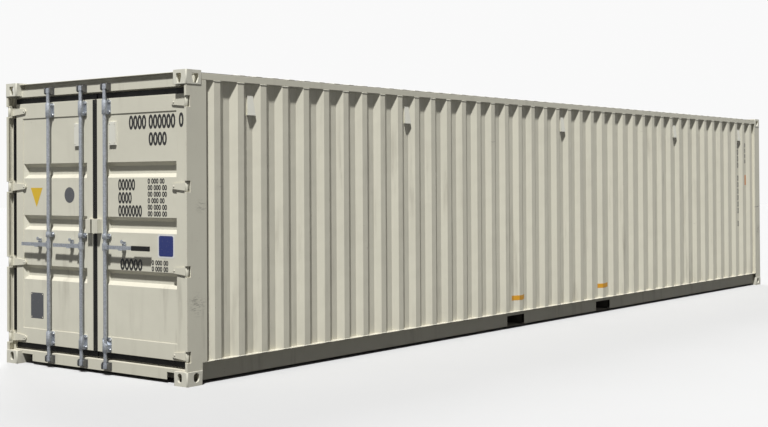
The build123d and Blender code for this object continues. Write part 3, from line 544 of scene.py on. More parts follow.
@dataclass(frozen=True)
class PlywoodFinish:
    """Sealed plywood with long grain and cart tracks."""

    name: str
    dark: Colour = (0.15, 0.08, 0.042)
    roughness_range: Pair = (0.45, 0.70)

    def build(self, effects: Effects) -> Material:
        """Makes the material from the shared node groups."""
        bench = MaterialBench(self.name)
        along = bench.stretch(bench.place, (1.0, 14.0, 14.0))
        grain = bench.noise(along, 4.5, detail=9.0, roughness=0.68)
        bands = bench.noise(along, 1.1, detail=3.0)
        figure = bench.plus(bench.times(grain, 0.7), bench.times(bands, 0.5))
        wood = bench.cover(self.dark, bench.band(figure, 0.42, 0.78), Tone.WOOD_LIGHT)
        scuffs = bench.effect(effects.scuffs, Scale=5.0, Amount=0.55)["Mask"]
        dust = bench.effect(effects.dust, Amount=0.35)["Mask"]
        colour = bench.cover(bench.cover(wood, scuffs, Tone.WOOD_RUB), dust, Tone.WOOD_DUST)
        bench.bump(grain, strength=0.4, distance=0.001)
        return bench.finish(colour, bench.spread(grain, *self.roughness_range))


@dataclass(frozen=True)
class FilmFinish:
    """Printed film or stencilled paint that has faded a little."""

    name: str
    colour: Colour
    roughness: float = 0.38
    fade: float = 0.22

    def build(self, effects: Effects) -> Material:
        """Makes the material from the shared node groups."""
        bench = MaterialBench(self.name)
        skin = bench.effect(effects.paint_skin)
        patches = bench.patches(bench.place, 60.0, edges=(0.52, 0.80), detail=6.0, roughness=0.7)
        streaks = bench.effect(effects.streaks, Scale=12.0, Amount=0.25)["Mask"]
        faded = bench.cover(bench.tinted(self.colour, skin["Tint"]), bench.times(patches, self.fade),
                            Tone.FILM_FADE)
        colour = bench.cover(faded, streaks, Tone.FILM_GRIME)
        return bench.finish(colour, bench.plus(self.roughness, skin["Gloss"]))


def make_paints(effects: Effects) -> dict[str, Material]:
    """Builds every material of the container.

    Args:
        effects: The shared node groups.

    Returns:
        The materials, by use.
    """
    cream = (0.625, 0.605, 0.50)
    pressed = {"streaks": 0.42, "scuffs": 0.25, "wear": 0.12, "dents": 0.8, "dent_height": 0.006,
               "rust": 0.22}
    post_rubs = ((-5.98, -1.215, 0.66, 0.13), (-5.93, -1.215, 1.47, 0.08), (6.03, -1.215, 0.86, 0.12))
    finishes = {
        "body": PaintFinish("cream_body_paint", cream),
        "walls": PaintFinish("cream_wall_paint", (0.67, 0.645, 0.53), **pressed),
        "panels": PaintFinish("cream_panel_paint", cream, **pressed),
        # The castings' pale edge tone is a painted highlight along their edges.
        "castings": PaintFinish("scuffed_casting_paint", (0.66, 0.645, 0.55), wear=0.9, wear_radius=0.007,
                                scuffs=0.75, streaks=0.3, dents=1.0, dent_height=0.003, rust=0.9, splash=0.15,
                                bare=Tone.WORN_CASTING),
        "posts": PaintFinish("scuffed_post_paint", cream, wear=0.7, scuffs=0.7, streaks=0.40,
                             spots=post_rubs),
        # The roof's cream is painted darker than the walls' as painted shade, so the key light from above
        # does not wash it out.
        "roof": PaintFinish("cream_roof_paint", (0.385, 0.375, 0.315), roughness=0.6, streaks=0.5, scuffs=0.6,
                            wear=0.3, dents=1.0, dent_height=0.006, dust=0.6, rust=0.6),
        # The ridge ends are painted lighter than the roof as a painted highlight along the roof's edge.
        "ridge_ends": PaintFinish("pale_ridge_paint", (0.50, 0.49, 0.44), roughness=0.6, streaks=0.2,
                                  wear=0.1, dust=0.1, splash=0.0),
        # The underside tone is a dark coat painted darker still as painted shade under the floor and inside
        # the fork pockets.
        "underside": PaintFinish("dark_underside_coat", (0.042, 0.041, 0.035), roughness=0.75, streaks=0.3,
                                 scuffs=0.1, wear=0.25, dents=0.6, splash=0.2, rust=0.5),
        # The vents' cream is painted lighter than the body's as a painted highlight, as if in fuller sun.
        "vents": PaintFinish("pale_vent_paint", (0.69, 0.68, 0.60), streaks=0.2, scuffs=0.1, wear=0.3,
                             splash=0.0, dust=0.3),
        "sealant": PaintFinish("cream_sealant", (0.69, 0.675, 0.58), roughness=0.6, streaks=0.3, wear=0.0,
                               scuffs=0.2, dust=0.25, splash=0.1),
        "zinc": ZincFinish("weathered_zinc"),
        # The keepers' dark grey is painted shade, darker than the keepers' own colour.
        "keepers": ZincFinish("worn_keeper_steel", (0.16, 0.16, 0.155), metallic=0.6, rust=0.9),
        "fixings": ZincFinish("zinc_fixings", (0.36, 0.37, 0.38), metallic=0.85, rust=0.65),
        "gasket": RubberFinish("gasket_rubber"),
        "grip": RubberFinish("grip_rubber", dust=0.3),
        "plywood": PlywoodFinish("floor_plywood"),
        "yellow": FilmFinish("yellow_film", (0.66, 0.43, 0.02)),
        "amber": FilmFinish("amber_film", (0.62, 0.30, 0.02)),
        "blue": FilmFinish("blue_film", (0.014, 0.026, 0.14)),
        "white": FilmFinish("white_film", (0.66, 0.66, 0.64)),
        "black": FilmFinish("black_stencil", (0.012, 0.012, 0.012), roughness=0.5, fade=0.16),
        "grey": FilmFinish("grey_film", (0.078, 0.081, 0.088)),
        "orange": FilmFinish("orange_film", (0.62, 0.20, 0.03)),
    }
    return {use: finish.build(effects) for use, finish in finishes.items()}


@dataclass
class Layout:
    """Sizes and places of the container that the scene's own pieces follow."""

    low: Vector
    high: Vector
    panel_depth: float = 0.066
    leaf_depth: float = 0.060
    bracket_plate: float = 0.006
    blade_thickness: float = 0.010
    rods: dict[Hand, tuple[float, ...]] = field(
        default_factory=lambda: {Hand.RIGHT: (0.162,), Hand.LEFT: (0.162, 0.622)})
    retainers: dict[Hand, tuple[float, ...]] = field(
        default_factory=lambda: {Hand.RIGHT: (0.380,), Hand.LEFT: (0.322, 0.782)})
    bracket_heights: tuple[float, ...] = (0.262, 1.202, 2.323)
    hinge_heights: tuple[float, ...] = (0.240, 0.9367, 1.6333, 2.330)
    casting_length: float = 0.178
    casting_height: float = 0.118
    rail_top: float = 0.186
    wall_top: float = 2.511
    wall_start: float = 0.230
    front_post_depth: float = 0.190
    floor_top: float = 0.172
    cross_pitch: float = 0.305

    @property
    def leaf_face(self) -> float:
        """X of the outer face of the door frames."""
        return self.low.x + self.leaf_depth

    @property
    def panel_face(self) -> float:
        """X of the door panels' outer face."""
        return self.low.x + self.panel_depth


@dataclass
class WallProfile:
    """Plan line of a corrugated side wall's outer face. A trough is centred on X = 0."""

    half_width: float
    inset: float = 0.005
    depth: float = 0.036
    flat: float = 0.072
    slope: float = 0.068

    @property
    def pitch(self) -> float:
        """Length of one rib and one trough."""
        return 2 * (self.flat + self.slope)

    def recess(self, x: float) -> float:
        """How far the face lies inside its outermost plane."""
        from_trough = abs(x / self.pitch - round(x / self.pitch)) * self.pitch
        share = (from_trough - self.flat / 2) / self.slope
        return self.depth * (1 - min(max(share, 0.0), 1.0))

    def line(self, x_low: float, x_high: float, hand: Hand, lift: float) -> Outline:
        """Corners of the face between two places.

        Args:
            x_low: Where the line starts.
            x_high: Where it ends.
            hand: The side of the container.
            lift: How far outside the face the line runs.

        Returns:
            X and Y of each corner.
        """
        stops = {x_low, x_high}
        for trough in range(math.floor(x_low / self.pitch), math.ceil(x_high / self.pitch) + 1):
            for reach in (self.flat / 2, self.flat / 2 + self.slope):
                stops.update((trough * self.pitch - reach, trough * self.pitch + reach))
        outer = self.half_width - self.inset + lift
        return [(x, hand.value * (outer - self.recess(x))) for x in sorted(stops) if x_low <= x <= x_high]


def bridge(mesh: BMesh, rings: list[list[BMVert]], laced: bool = False) -> None:
    """Joins closed rings of vertices to a solid with a cap at each end.

    Args:
        mesh: The mesh to add to.
        rings: Rings of as many vertices each, in order.
        laced: Whether each cap is a row of quads between the halves of its ring, for bent sections.
    """
    for near, far in zip(rings, rings[1:]):
        for index in range(len(near)):
            mesh.faces.new((near[index - 1], near[index], far[index], far[index - 1]))
    for ring in (rings[0], rings[-1]):
        if laced:
            for index in range(len(ring) // 2 - 1):
                mesh.faces.new((ring[index], ring[index + 1], ring[-2 - index], ring[-1 - index]))
        else:
            mesh.faces.new(ring)


def ring_at(mesh: BMesh, outline: Outline, place: Matrix, height: float) -> list[BMVert]:
    """Adds a ring of vertices at a height above its place."""
    return [mesh.verts.new(place @ Vector((u, v, height))) for u, v in outline]


def extrude(mesh: BMesh, outline: Outline, place: Matrix, height: float, laced: bool = False) -> None:
    """Adds a closed plate or bar.

    Args:
        mesh: The mesh to add to.
        outline: Corners in the place's own plane, in order.
        place: Puts the outline in the row frame.
        height: How far the piece reaches along the place's own Z.
        laced: As for bridge.
    """
    bridge(mesh, [ring_at(mesh, outline, place, level) for level in (0.0, height)], laced)


def circle_outline(radius: float, count: int = 48, turn: float = 0.0) -> Outline:
    """Points of a circle about zero. The first one stands at an angle of turn."""
    angles = [turn + math.tau * index / count for index in range(count)]
    return [(radius * math.cos(angle), radius * math.sin(angle)) for angle in angles]


def rounded_box_outline(width: float, height: float, radius: float, steps: int = 6) -> Outline:
    """Corners of a rectangle with round corners, centred on zero."""
    points = []
    for quarter, (side, end) in enumerate(((1, 1), (-1, 1), (-1, -1), (1, -1))):
        for step in range(steps + 1):
            angle = math.pi / 2 * (quarter + step / steps)
            points.append((side * (width / 2 - radius) + radius * math.cos(angle),
                           end * (height / 2 - radius) + radius * math.sin(angle)))
    return points


def lathe(mesh: BMesh, place: Matrix, profile: Outline, count: int, turn: float = 0.0) -> None:
    """Adds a closed turned solid, or a prism where the count is small.

    Args:
        mesh: The mesh to add to.
        place: Puts the solid in the row frame; its own Z is its axis.
        profile: Radius and height of each ring, from the foot up.
        count: Corners of a ring.
        turn: Angle of the first corner.
    """
    circles = [(circle_outline(radius, count, turn), height) for radius, height in profile]
    bridge(mesh, [ring_at(mesh, circle, place, height) for circle, height in circles])


@dataclass(frozen=True)
class HexBolt:
    """Hexagon head with a chamfered top, on a round washer."""

    across: float = 0.017
    head: float = 0.0065
    washer: float = 0.002
    washer_radius: float = 0.0135
    washer_edge: float = 0.0006
    washer_corners: int = 20
    head_gap: float = 0.0001
    chamfer: float = 0.0014
    chamfer_share: float = 0.86

    def add(self, mesh: BMesh, place: Matrix, turn: float) -> None:
        """Adds one bolt whose washer stands a hair off the face."""
        top = self.washer + HAIR_GAP
        radius = self.across / math.sqrt(3)
        lathe(mesh, place, [(self.washer_radius, HAIR_GAP), (self.washer_radius, top - self.washer_edge),
                            (self.washer_radius - self.washer_edge, top)], self.washer_corners)
        lathe(mesh, place, [(radius, top + self.head_gap), (radius, top + self.head - self.chamfer),
                            (radius * self.chamfer_share, top + self.head)], 6, turn)


@dataclass(frozen=True)
class Rivet:
    """Low domed rivet head. The dome lists shares of its radius and of its rise."""

    radius: float = 0.006
    rise: float = 0.003
    corners: int = 16
    dome_shares: tuple[Pair, ...] = ((1.0, 0.25), (0.86, 0.62), (0.55, 0.90), (0.18, 1.0))

    def add(self, mesh: BMesh, place: Matrix) -> None:
        """Adds one rivet head."""
        dome = [(self.radius * out, self.rise * up) for out, up in self.dome_shares]
        lathe(mesh, place, [(self.radius, HAIR_GAP), *dome], self.corners)


@dataclass
class PieceMaker:
    """Makes pieces of the container from its layout and its paints."""

    layout: Layout
    paints: dict[str, Material]

    def mount(self, name: str, data: Mesh, paint: str, body: str) -> None:
        """Makes an object that rides on a CAD body.

        Args:
            name: The piece's name.
            data: Its mesh in the row frame.
            paint: The use of its paint.
            body: The CAD body it rides on.
        """
        data.materials.clear()
        data.materials.append(self.paints[paint])
        piece = bpy.data.objects.new(name, data)
        bpy.context.scene.collection.objects.link(piece)
        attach(piece, body)

    def piece(self, name: str, mesh: BMesh, paint: str, body: str, slot: str = "body_paint") -> None:
        """Mounts a bmesh of closed solids, which is freed. The other arguments are those of mount. The slot
        is not used.
        """
        bmesh.ops.recalc_face_normals(mesh, faces=mesh.faces)
        data = bpy.data.meshes.new(name)
        mesh.to_mesh(data)
        mesh.free()
        self.mount(name, data, paint, body)

    def stencil(self, name: str, text: str, place: Matrix, height: float, width_share: float, body: str,
                line_step: float = 0.0) -> None:
        """Makes plain digits as one thin closed piece.

        Args:
            name: The piece's name.
            text: Digits, spaces and line ends only.
            place: Puts the text's own plane in the row frame.
            height: The digits' height.
            width_share: Their width against the font's own.
            body: The CAD body they ride on.
            line_step: Distance between the rows of a centred column.
        """
        curve = bpy.data.curves.new(name, "FONT")
        curve.body = text
        curve.size = height / DIGIT_SHARE
        curve.extrude = FILM / 2
        curve.offset = height * STROKE_SHARE
        curve.resolution_u = 3
        if line_step:
            curve.align_x = "CENTER"
            curve.space_line = line_step / curve.size
        source = bpy.data.objects.new(name + "_source", curve)
        bpy.context.scene.collection.objects.link(source)
        bpy.context.view_layer.update()
        graph = bpy.context.evaluated_depsgraph_get()
        data = bpy.data.meshes.new_from_object(source.evaluated_get(graph))
        bpy.data.objects.remove(source)
        squeeze = Matrix.Diagonal((width_share, 1.0, 1.0, 1.0))
        data.transform(place @ Matrix.Translation((0, 0, FILM / 2)) @ squeeze)
        self.mount(name, data, "black", body)


@dataclass
class DoorFixings(PieceMaker):
    """Bolts of the rod brackets and retainers, and rivets of hinges, vents and the data plate."""

    bolt: HexBolt = HexBolt()
    small_bolt: HexBolt = HexBolt(across=0.010, head=0.0045, washer=0.0012, washer_radius=0.0075)
    rivet: Rivet = Rivet()
    hinge_rivet: Rivet = Rivet(radius=0.009, rise=0.0045)
    side_reach: float = 0.037
    corner_rise: float = 0.042
    retainer_reach: float = 0.0135
    retainer_height: float = 1.136
    hinge_rivet_place: float = 1.014
    vent_cover: float = 0.016
    vent_sides: Pair = (0.206, 0.266)
    vent_ends: Pair = (2.012, 2.176)
    data_plate: float = 0.0012
    data_plate_sides: Pair = (0.758, 0.918)
    data_plate_ends: Pair = (0.440, 0.650)
    seed: int = 7

    def bolts(self, hand: Hand, chance: random.Random) -> BMesh:
        """The bolts that hold one door's rod brackets and handle retainers."""
        mesh = bmesh.new()
        face = self.layout.leaf_face - self.layout.bracket_plate
        middle = self.layout.bracket_heights[1]
        for reach, height in product(self.layout.rods[hand], self.layout.bracket_heights):
            rises = (0.0,) if height == middle else (-self.corner_rise, self.corner_rise)
            for across, rise in product((-self.side_reach, self.side_reach), rises):
                place = Facing.DOORS.at(face, hand.value * reach + across, height + rise)
                self.bolt.add(mesh, place, chance.uniform(0, 1))
        sides = (-self.retainer_reach, self.retainer_reach)
        for reach, across in product(self.layout.retainers[hand], sides):
            place = Facing.DOORS.at(face, hand.value * reach + across, self.retainer_height)
            self.small_bolt.add(mesh, place, chance.uniform(0, 1))
        return mesh

    def rivets(self, hand: Hand) -> BMesh:
        """The rivets of one door's hinge blades and vent and, on the left, of the data plate."""
        mesh = bmesh.new()
        face = self.layout.leaf_face - self.layout.blade_thickness
        for height in self.layout.hinge_heights:
            self.hinge_rivet.add(mesh, Facing.DOORS.at(face, hand.value * self.hinge_rivet_place, height))
        face = self.layout.panel_face - self.vent_cover
        for across, height in product(self.vent_sides, self.vent_ends):
            self.rivet.add(mesh, Facing.DOORS.at(face, hand.value * across, height))
        if hand is Hand.LEFT:
            face = self.layout.panel_face - self.data_plate
            for across, height in product(self.data_plate_sides, self.data_plate_ends):
                self.rivet.add(mesh, Facing.DOORS.at(face, across, height))
        return mesh

    def build(self) -> None:
        """Makes the fixings of both doors, one piece a kind and door."""
        chance = random.Random(self.seed)
        for hand in Hand:
            door = hand.door
            self.piece(f"{door}_bolts", self.bolts(hand, chance), "fixings", door, "galvanised_steel")
            self.piece(f"{door}_rivets", self.rivets(hand), "body", door)


@dataclass
class CentreLips(PieceMaker):
    """Rubber lips on the inner edges of the leaves, which break at the lock box. They stand for the real
    gasket lips and, widened past them, for a painted shadow in the gap between the doors.
    """

    start: float = 0.0016
    ends: dict[Hand, float] = field(default_factory=lambda: {Hand.RIGHT: 0.024, Hand.LEFT: 0.033})
    runs: tuple[Pair, ...] = ((0.197, 1.218), (1.356, 2.396))
    rise: float = 0.0026
    shoulder_share: float = 0.8
    shoulder: float = 0.001
    crown: float = 0.003

    def build(self) -> None:
        """Makes one lip a door."""
        edge = ((0.0, 0.0), (self.rise * self.shoulder_share, self.shoulder), (self.rise, self.crown))
        for hand in Hand:
            mesh = bmesh.new()
            near = [(-out, hand.value * (self.start + inward)) for out, inward in edge]
            far = [(-out, hand.value * (self.ends[hand] - inward)) for out, inward in reversed(edge)]
            for low, high in self.runs:
                place = Matrix.Translation((self.layout.leaf_face - HAIR_GAP, 0.0, low))
                extrude(mesh, near + far, place, high - low)
            self.piece(f"{hand.door}_centre_lip", mesh, "gasket", hand.door, "gasket_rubber")


@dataclass
class PostSeals(PieceMaker):
    """Rubber strips that line the door posts beside the leaves, broken at the hinges. They stand for the
    gasket and for a painted shadow in the gap between post and leaf.
    """

    post_inner: float = 0.049
    floor_depth: float = 0.066
    back_depth: float = 0.085
    thickness: float = 0.003
    round_share: float = 0.4
    wrap: float = 0.017
    hinge_room: float = 0.062
    low: float = 0.200
    high: float = 2.392
    least_run: float = 0.01

    def runs(self) -> list[Pair]:
        """Foot and top of each strip, between the hinges."""
        feet = [self.low] + [height + self.hinge_room for height in self.layout.hinge_heights]
        tops = [height - self.hinge_room for height in self.layout.hinge_heights] + [self.high]
        return [(low, high) for low, high in zip(feet, tops) if high - low > self.least_run]

    def build(self) -> None:
        """Makes the strips of each post as one piece."""
        back = self.layout.low.x + self.back_depth
        inner = self.layout.low.x + self.floor_depth - HAIR_GAP
        outer = inner - self.thickness
        side = self.layout.high.y - self.post_inner - HAIR_GAP
        lip = side - self.thickness
        end = side + self.wrap
        round_off = self.thickness * self.round_share
        section = [(back, side), (inner, side), (inner, end), (outer + round_off, end),
                   (outer, end - round_off), (outer, lip + round_off), (outer + round_off, lip), (back, lip)]
        for hand in Hand:
            mesh = bmesh.new()
            outline = [(x, hand.value * y) for x, y in section]
            for low, high in self.runs():
                extrude(mesh, outline, Matrix.Translation((0.0, 0.0, low)), high - low, laced=True)
            self.piece(f"{hand.side}_post_seal", mesh, "gasket", "root", "gasket_rubber")


@dataclass
class RidgeEnds(PieceMaker):
    """Sloped ends that carry the roof's stamped ridges out towards the top rails."""

    pitch: float = 0.209
    end_flat: float = 0.300
    ridge_end: float = 1.1550
    ridge_slope: float = 0.0135
    rise: float = 0.012
    outer_end: float = 1.207
    outer_rise: float = 0.005
    half_foot: float = 0.059
    half_crown: float = 0.0455
    middle_foot: float = 0.056
    middle_crown: float = 0.040
    middle_rise_share: float = 0.72
    outer_foot: float = 0.050
    outer_crown: float = 0.030
    gap: float = 0.0003
    taper: float = 0.001
    step_down: float = 0.0012
    shoulder_drop: float = 0.0004
    shoulder_share: float = 0.6
    sheet_top: float = 2.573

    def stations(self) -> list[tuple[float, ...]]:
        """Distance from the middle, half foot, half crown, underside and top of each section, outwards."""
        gap = self.gap
        return [
            (self.ridge_end - self.ridge_slope + gap, self.half_crown, self.half_crown - self.taper,
             self.rise + gap, self.rise + 2 * gap),
            (self.ridge_end + gap, self.half_foot, self.half_crown - 2 * self.taper, gap,
             self.rise - self.step_down),
            ((self.ridge_end + self.outer_end) / 2, self.middle_foot, self.middle_crown, gap,
             self.rise * self.middle_rise_share),
            (self.outer_end, self.outer_foot, self.outer_crown, gap, self.outer_rise),
        ]

    def add_end(self, mesh: BMesh, middle: float, hand: Hand) -> None:
        """Adds the end of one ridge, whose middle stands at an X."""
        rings = []
        for from_middle, foot, crown, under, top in self.stations():
            half = [(foot, under), (crown, top - self.shoulder_drop), (crown * self.shoulder_share, top)]
            section = [(-x, z) for x, z in half] + half[::-1]
            rings.append([mesh.verts.new((middle + x, hand.value * from_middle, self.sheet_top + z))
                          for x, z in section])
        bridge(mesh, rings)

    def build(self) -> None:
        """Makes every end as one piece a side."""
        room = self.layout.high.x - self.layout.low.x - 2 * (self.layout.casting_length + self.end_flat)
        count = int(room // self.pitch)
        for hand in Hand:
            mesh = bmesh.new()
            for place in range(count):
                self.add_end(mesh, (place - (count - 1) / 2) * self.pitch, hand)
            self.piece(f"{hand.side}_ridge_ends", mesh, "ridge_ends", "root")


@dataclass(frozen=True)
class WeldBead:
    """A rippled fillet weld or a bead of sealant, as a thin closed tube."""

    radius: float = 0.0032
    ripple: float = 0.22
    unevenness: float = 0.08
    step: float = 0.0075
    sides: int = 6
    upright_share: float = 0.9

    def add(self, mesh: BMesh, corners: list[Vector], chance: random.Random) -> None:
        """Runs the bead along a line.

        Args:
            mesh: The mesh to add to.
            corners: The line's corners, in order.
            chance: Source of the unevenness.
        """
        points = []
        for start, end in zip(corners, corners[1:]):
            count = max(1, round((end - start).length / self.step))
            points.extend(start.lerp(end, index / count) for index in range(count))
        points.append(corners[-1])
        rings = []
        for index, point in enumerate(points):
            along = (points[min(index + 1, len(points) - 1)] - points[max(index - 1, 0)]).normalized()
            upright = abs(along.z) > self.upright_share
            across = along.cross(Vector((1, 0, 0) if upright else (0, 0, 1))).normalized()
            up = across.cross(along)
            uneven = chance.uniform(-self.unevenness, self.unevenness)
            swell = self.radius * (1 + self.ripple * (index % 2) + uneven)
            circle = circle_outline(swell, self.sides)
            rings.append([mesh.verts.new(point + u * across + v * up) for u, v in circle])
        bridge(mesh, rings)


@dataclass
class Welds(PieceMaker):
    """Weld beads between sheets, rails, posts and castings."""

    profile: WallProfile
    bead: WeldBead = WeldBead()
    post_bead: WeldBead = WeldBead(radius=0.0042, ripple=0.3, step=0.006)
    seam_end: float = 0.004
    seam_rise: float = 0.0015
    seam_lift: float = 0.0004
    casting_rise: float = 0.0005
    casting_end: float = 0.002
    side_depth: float = 0.0075
    front_depth: float = 0.0095
    front_run: float = 0.024
    seed: int = 11

    def wall_seams(self, hand: Hand, chance: random.Random) -> None:
        """Welds one side wall to its rails, along the corrugations."""
        mesh = bmesh.new()
        x_low = self.layout.low.x + self.layout.wall_start + self.seam_end
        x_high = self.layout.high.x - self.layout.front_post_depth - self.seam_end
        plan = self.profile.line(x_low, x_high, hand, lift=self.seam_lift)
        for z in (self.layout.rail_top + self.seam_rise, self.layout.wall_top - self.seam_rise):
            self.bead.add(mesh, [Vector((x, y, z)) for x, y in plan], chance)
        self.piece(f"{hand.side}_wall_welds", mesh, "sealant", "root")

    def casting_seams(self, hand: Hand, chance: random.Random) -> None:
        """Welds the posts to their castings: on the side and, at the doors, also on the front."""
        mesh = bmesh.new()
        y = hand.value * (self.layout.high.y - self.side_depth)
        inward = y - hand.value * self.front_run
        rear = self.layout.low.x + self.front_depth
        front = self.layout.high.x - self.front_depth
        reach = self.layout.casting_length - self.casting_end
        rise = self.layout.casting_height + self.casting_rise
        for z in (rise, self.layout.high.z - rise):
            at_doors = [(self.layout.low.x + reach, y, z), (rear, y, z), (rear, inward, z)]
            at_front = [(self.layout.high.x - reach, y, z), (front, y, z)]
            for line in (at_doors, at_front):
                self.post_bead.add(mesh, [Vector(corner) for corner in line], chance)
        self.piece(f"{hand.side}_post_welds", mesh, "sealant", "root", "casting_paint")

    def build(self) -> None:
        """Makes every seam."""
        chance = random.Random(self.seed)
        for hand in Hand:
            self.wall_seams(hand, chance)
            self.casting_seams(hand, chance)


@dataclass
class FloorScrews(PieceMaker):
    """Countersunk screws that hold the floor boards to the cross members."""

    rows: int = 8
    side_room: float = 0.19
    end_room: float = 0.5
    radius: float = 0.007
    edge_height: float = 0.0007
    top_height: float = 0.0011
    top_share: float = 0.7
    corners: int = 10

    def build(self) -> None:
        """Makes one piece of all screws."""
        mesh = bmesh.new()
        layout = self.layout
        count = int((layout.high.x - layout.low.x - 2 * self.end_room) // layout.cross_pitch)
        half = layout.high.y - self.side_room
        head = [(self.radius, HAIR_GAP), (self.radius, self.edge_height),
                (self.radius * self.top_share, self.top_height)]
        for place, row in product(range(count + 1), range(self.rows)):
            x = (place - count / 2) * layout.cross_pitch
            y = -half + 2 * half * row / (self.rows - 1)
            lathe(mesh, Facing.FLOOR.at(x, y, layout.floor_top), head, self.corners)
        self.piece("floor_screws", mesh, "fixings", "root", "floor_plywood")


@dataclass
class WallMarks(PieceMaker):
    """Amber strips over the fork pockets, a small label and columns of plain noughts at the far end."""

    profile: WallProfile
    strip_ends: Pair = (0.311, 0.364)
    rear_strip: Pair = (-1.126, -0.862)
    front_strip: Pair = (0.866, 1.131)
    label_sides: Pair = (5.568, 5.632)
    label_ends: Pair = (1.564, 1.718)
    code_trough: int = 19
    code_height: float = 0.078
    code_step: float = 0.099
    size_trough: int = 20
    size_height: float = 0.060
    size_step: float = 0.082
    columns_top: float = 2.205
    width_share: float = 0.80

    def strip(self, name: str, sides: Pair, ends: Pair, paint: str) -> None:
        """Lays a film on the right wall so that it follows the corrugations.

        Args:
            name: The piece's name.
            sides: Lowest and highest X.
            ends: Foot and top.
            paint: The use of its paint.
        """
        mesh = bmesh.new()
        inner = self.profile.line(*sides, Hand.RIGHT, lift=HAIR_GAP)
        outer = self.profile.line(*sides, Hand.RIGHT, lift=HAIR_GAP + FILM)
        place = Matrix.Translation((0.0, 0.0, ends[0]))
        extrude(mesh, inner + outer[::-1], place, ends[1] - ends[0], laced=True)
        self.piece(name, mesh, paint, "root")

    def column(self, name: str, trough: int, groups: tuple[int, ...], height: float, step: float) -> None:
        """Stencils groups of noughts below one another in a trough of the right wall."""
        face = -(self.layout.high.y - self.profile.inset - self.profile.depth) - HAIR_GAP
        turn = Matrix(((1, 0, 0), (0, 0, -1), (0, 1, 0))).to_4x4()
        place = Matrix.Translation((trough * self.profile.pitch, face, self.columns_top - height)) @ turn
        text = "\n\n".join("\n".join("0" * count) for count in groups)
        self.stencil(name, text, place, height, self.width_share, "root", line_step=step)

    def build(self) -> None:
        """Makes every mark on the right wall."""
        self.strip("amber_strip_rear", self.rear_strip, self.strip_ends, "amber")
        self.strip("amber_strip_front", self.front_strip, self.strip_ends, "amber")
        self.strip("orange_label", self.label_sides, self.label_ends, "orange")
        self.column("wall_code_column", self.code_trough, (4, 6, 1), self.code_height, self.code_step)
        self.column("wall_size_column", self.size_trough, (4,), self.size_height, self.size_step)


@dataclass(frozen=True)
class DigitBlock:
    """Rows of plain digits on the right door's panel, or on the raised frame of its leaf."""

    name: str
    rows: tuple[str, ...]
    y: float
    z: float
    height: float
    width_share: float
    step: float = 0.0
    on_frame: bool = False


@dataclass
class DoorMarks(PieceMaker):
    """Generic labels and plain numbers on the doors, in the places where the real ones sit."""

    lift: float = 0.0003
    layer_gap: float = 0.0001
    label_place: Pair = (-0.90, 1.135)
    triangle_half: float = 0.088
    disc_radius: float = 0.07
    blocks: tuple[DigitBlock, ...] = (
        DigitBlock("code_row", ("0000 000000",), y=-0.440, z=2.124, height=0.112, width_share=0.685),
        DigitBlock("code_check_digit", ("0",), y=-1.068, z=2.128, height=0.112, width_share=0.70,
                   on_frame=True),
        DigitBlock("size_row", ("0000",), y=-0.690, z=1.982, height=0.106, width_share=0.74),
        DigitBlock("volume_row", ("00000",), y=-0.322, z=0.922, height=0.092, width_share=0.86),
        DigitBlock("weight_row", ("00000", "0000", "0000000"), y=-0.298, z=1.604, height=0.092,
                   width_share=0.66, step=0.112),
        DigitBlock("weight_small_row", 2 * ("0 000 00", "00 000 00", "00 000 00"), y=-0.675, z=1.658,
                   height=0.042, width_share=0.98, step=0.055),
        DigitBlock("volume_small_row", 2 * ("0 000 00",), y=-0.722, z=0.974, height=0.040,
                   width_share=1.0, step=0.052),
    )

    def plane(self, y: float, z: float, on_frame: bool = False) -> Matrix:
        """Places a plate on the door face, with its own X to the right of someone who faces the doors."""
        turn = Matrix(((0, 0, -1), (-1, 0, 0), (0, 1, 0))).to_4x4()
        face = self.layout.leaf_face if on_frame else self.layout.panel_face
        return Matrix.Translation((face - self.lift, y, z)) @ turn

    def plate(self, name: str, outline: Outline, y: float, z: float, paint: str, hand: Hand,
              layer: int = 0) -> None:
        """Lays one flat label on a door.

        Args:
            name: The piece's name.
            outline: Its corners about its own centre.
            y: Centre across the doors.
            z: Centre above the ground.
            paint: The use of its paint.
            hand: The door it rides on.
            layer: How many films lie under it.
        """
        mesh = bmesh.new()
        place = self.plane(y, z) @ Matrix.Translation((0, 0, layer * (FILM + self.layer_gap)))
        extrude(mesh, outline, place, FILM)
        self.piece(name, mesh, paint, hand.door)

    def labels(self) -> None:
        """Makes the blank films."""
        half = self.triangle_half
        triangle = [(-half, half), (0.0, -half), (half, half)]
        disc = circle_outline(self.disc_radius)
        data_plate = rounded_box_outline(width=0.185, height=0.235, radius=0.01)
        border = rounded_box_outline(width=0.205, height=0.20, radius=0.022)
        blue_field = rounded_box_outline(width=0.175, height=0.172, radius=0.018)
        self.plate("yellow_triangle", triangle, y=0.842, z=1.535, paint="yellow", hand=Hand.LEFT)
        self.plate("grey_disc", disc, y=0.366, z=1.558, paint="grey", hand=Hand.LEFT)
        self.plate("data_plate", data_plate, y=0.838, z=0.545, paint="grey", hand=Hand.LEFT)
        self.plate("label_border", border, *self.label_place, "white", Hand.RIGHT)
        self.plate("label_field", blue_field, *self.label_place, "blue", Hand.RIGHT, layer=1)

    def build(self) -> None:
        """Makes every mark on the two doors."""
        self.labels()
        for block in self.blocks:
            for index, text in enumerate(block.rows):
                name = f"{block.name}_{index}" if block.step else block.name
                place = self.plane(block.y, block.z - index * block.step, block.on_frame)
                self.stencil(name, text, place, block.height, block.width_share, Hand.RIGHT.door)


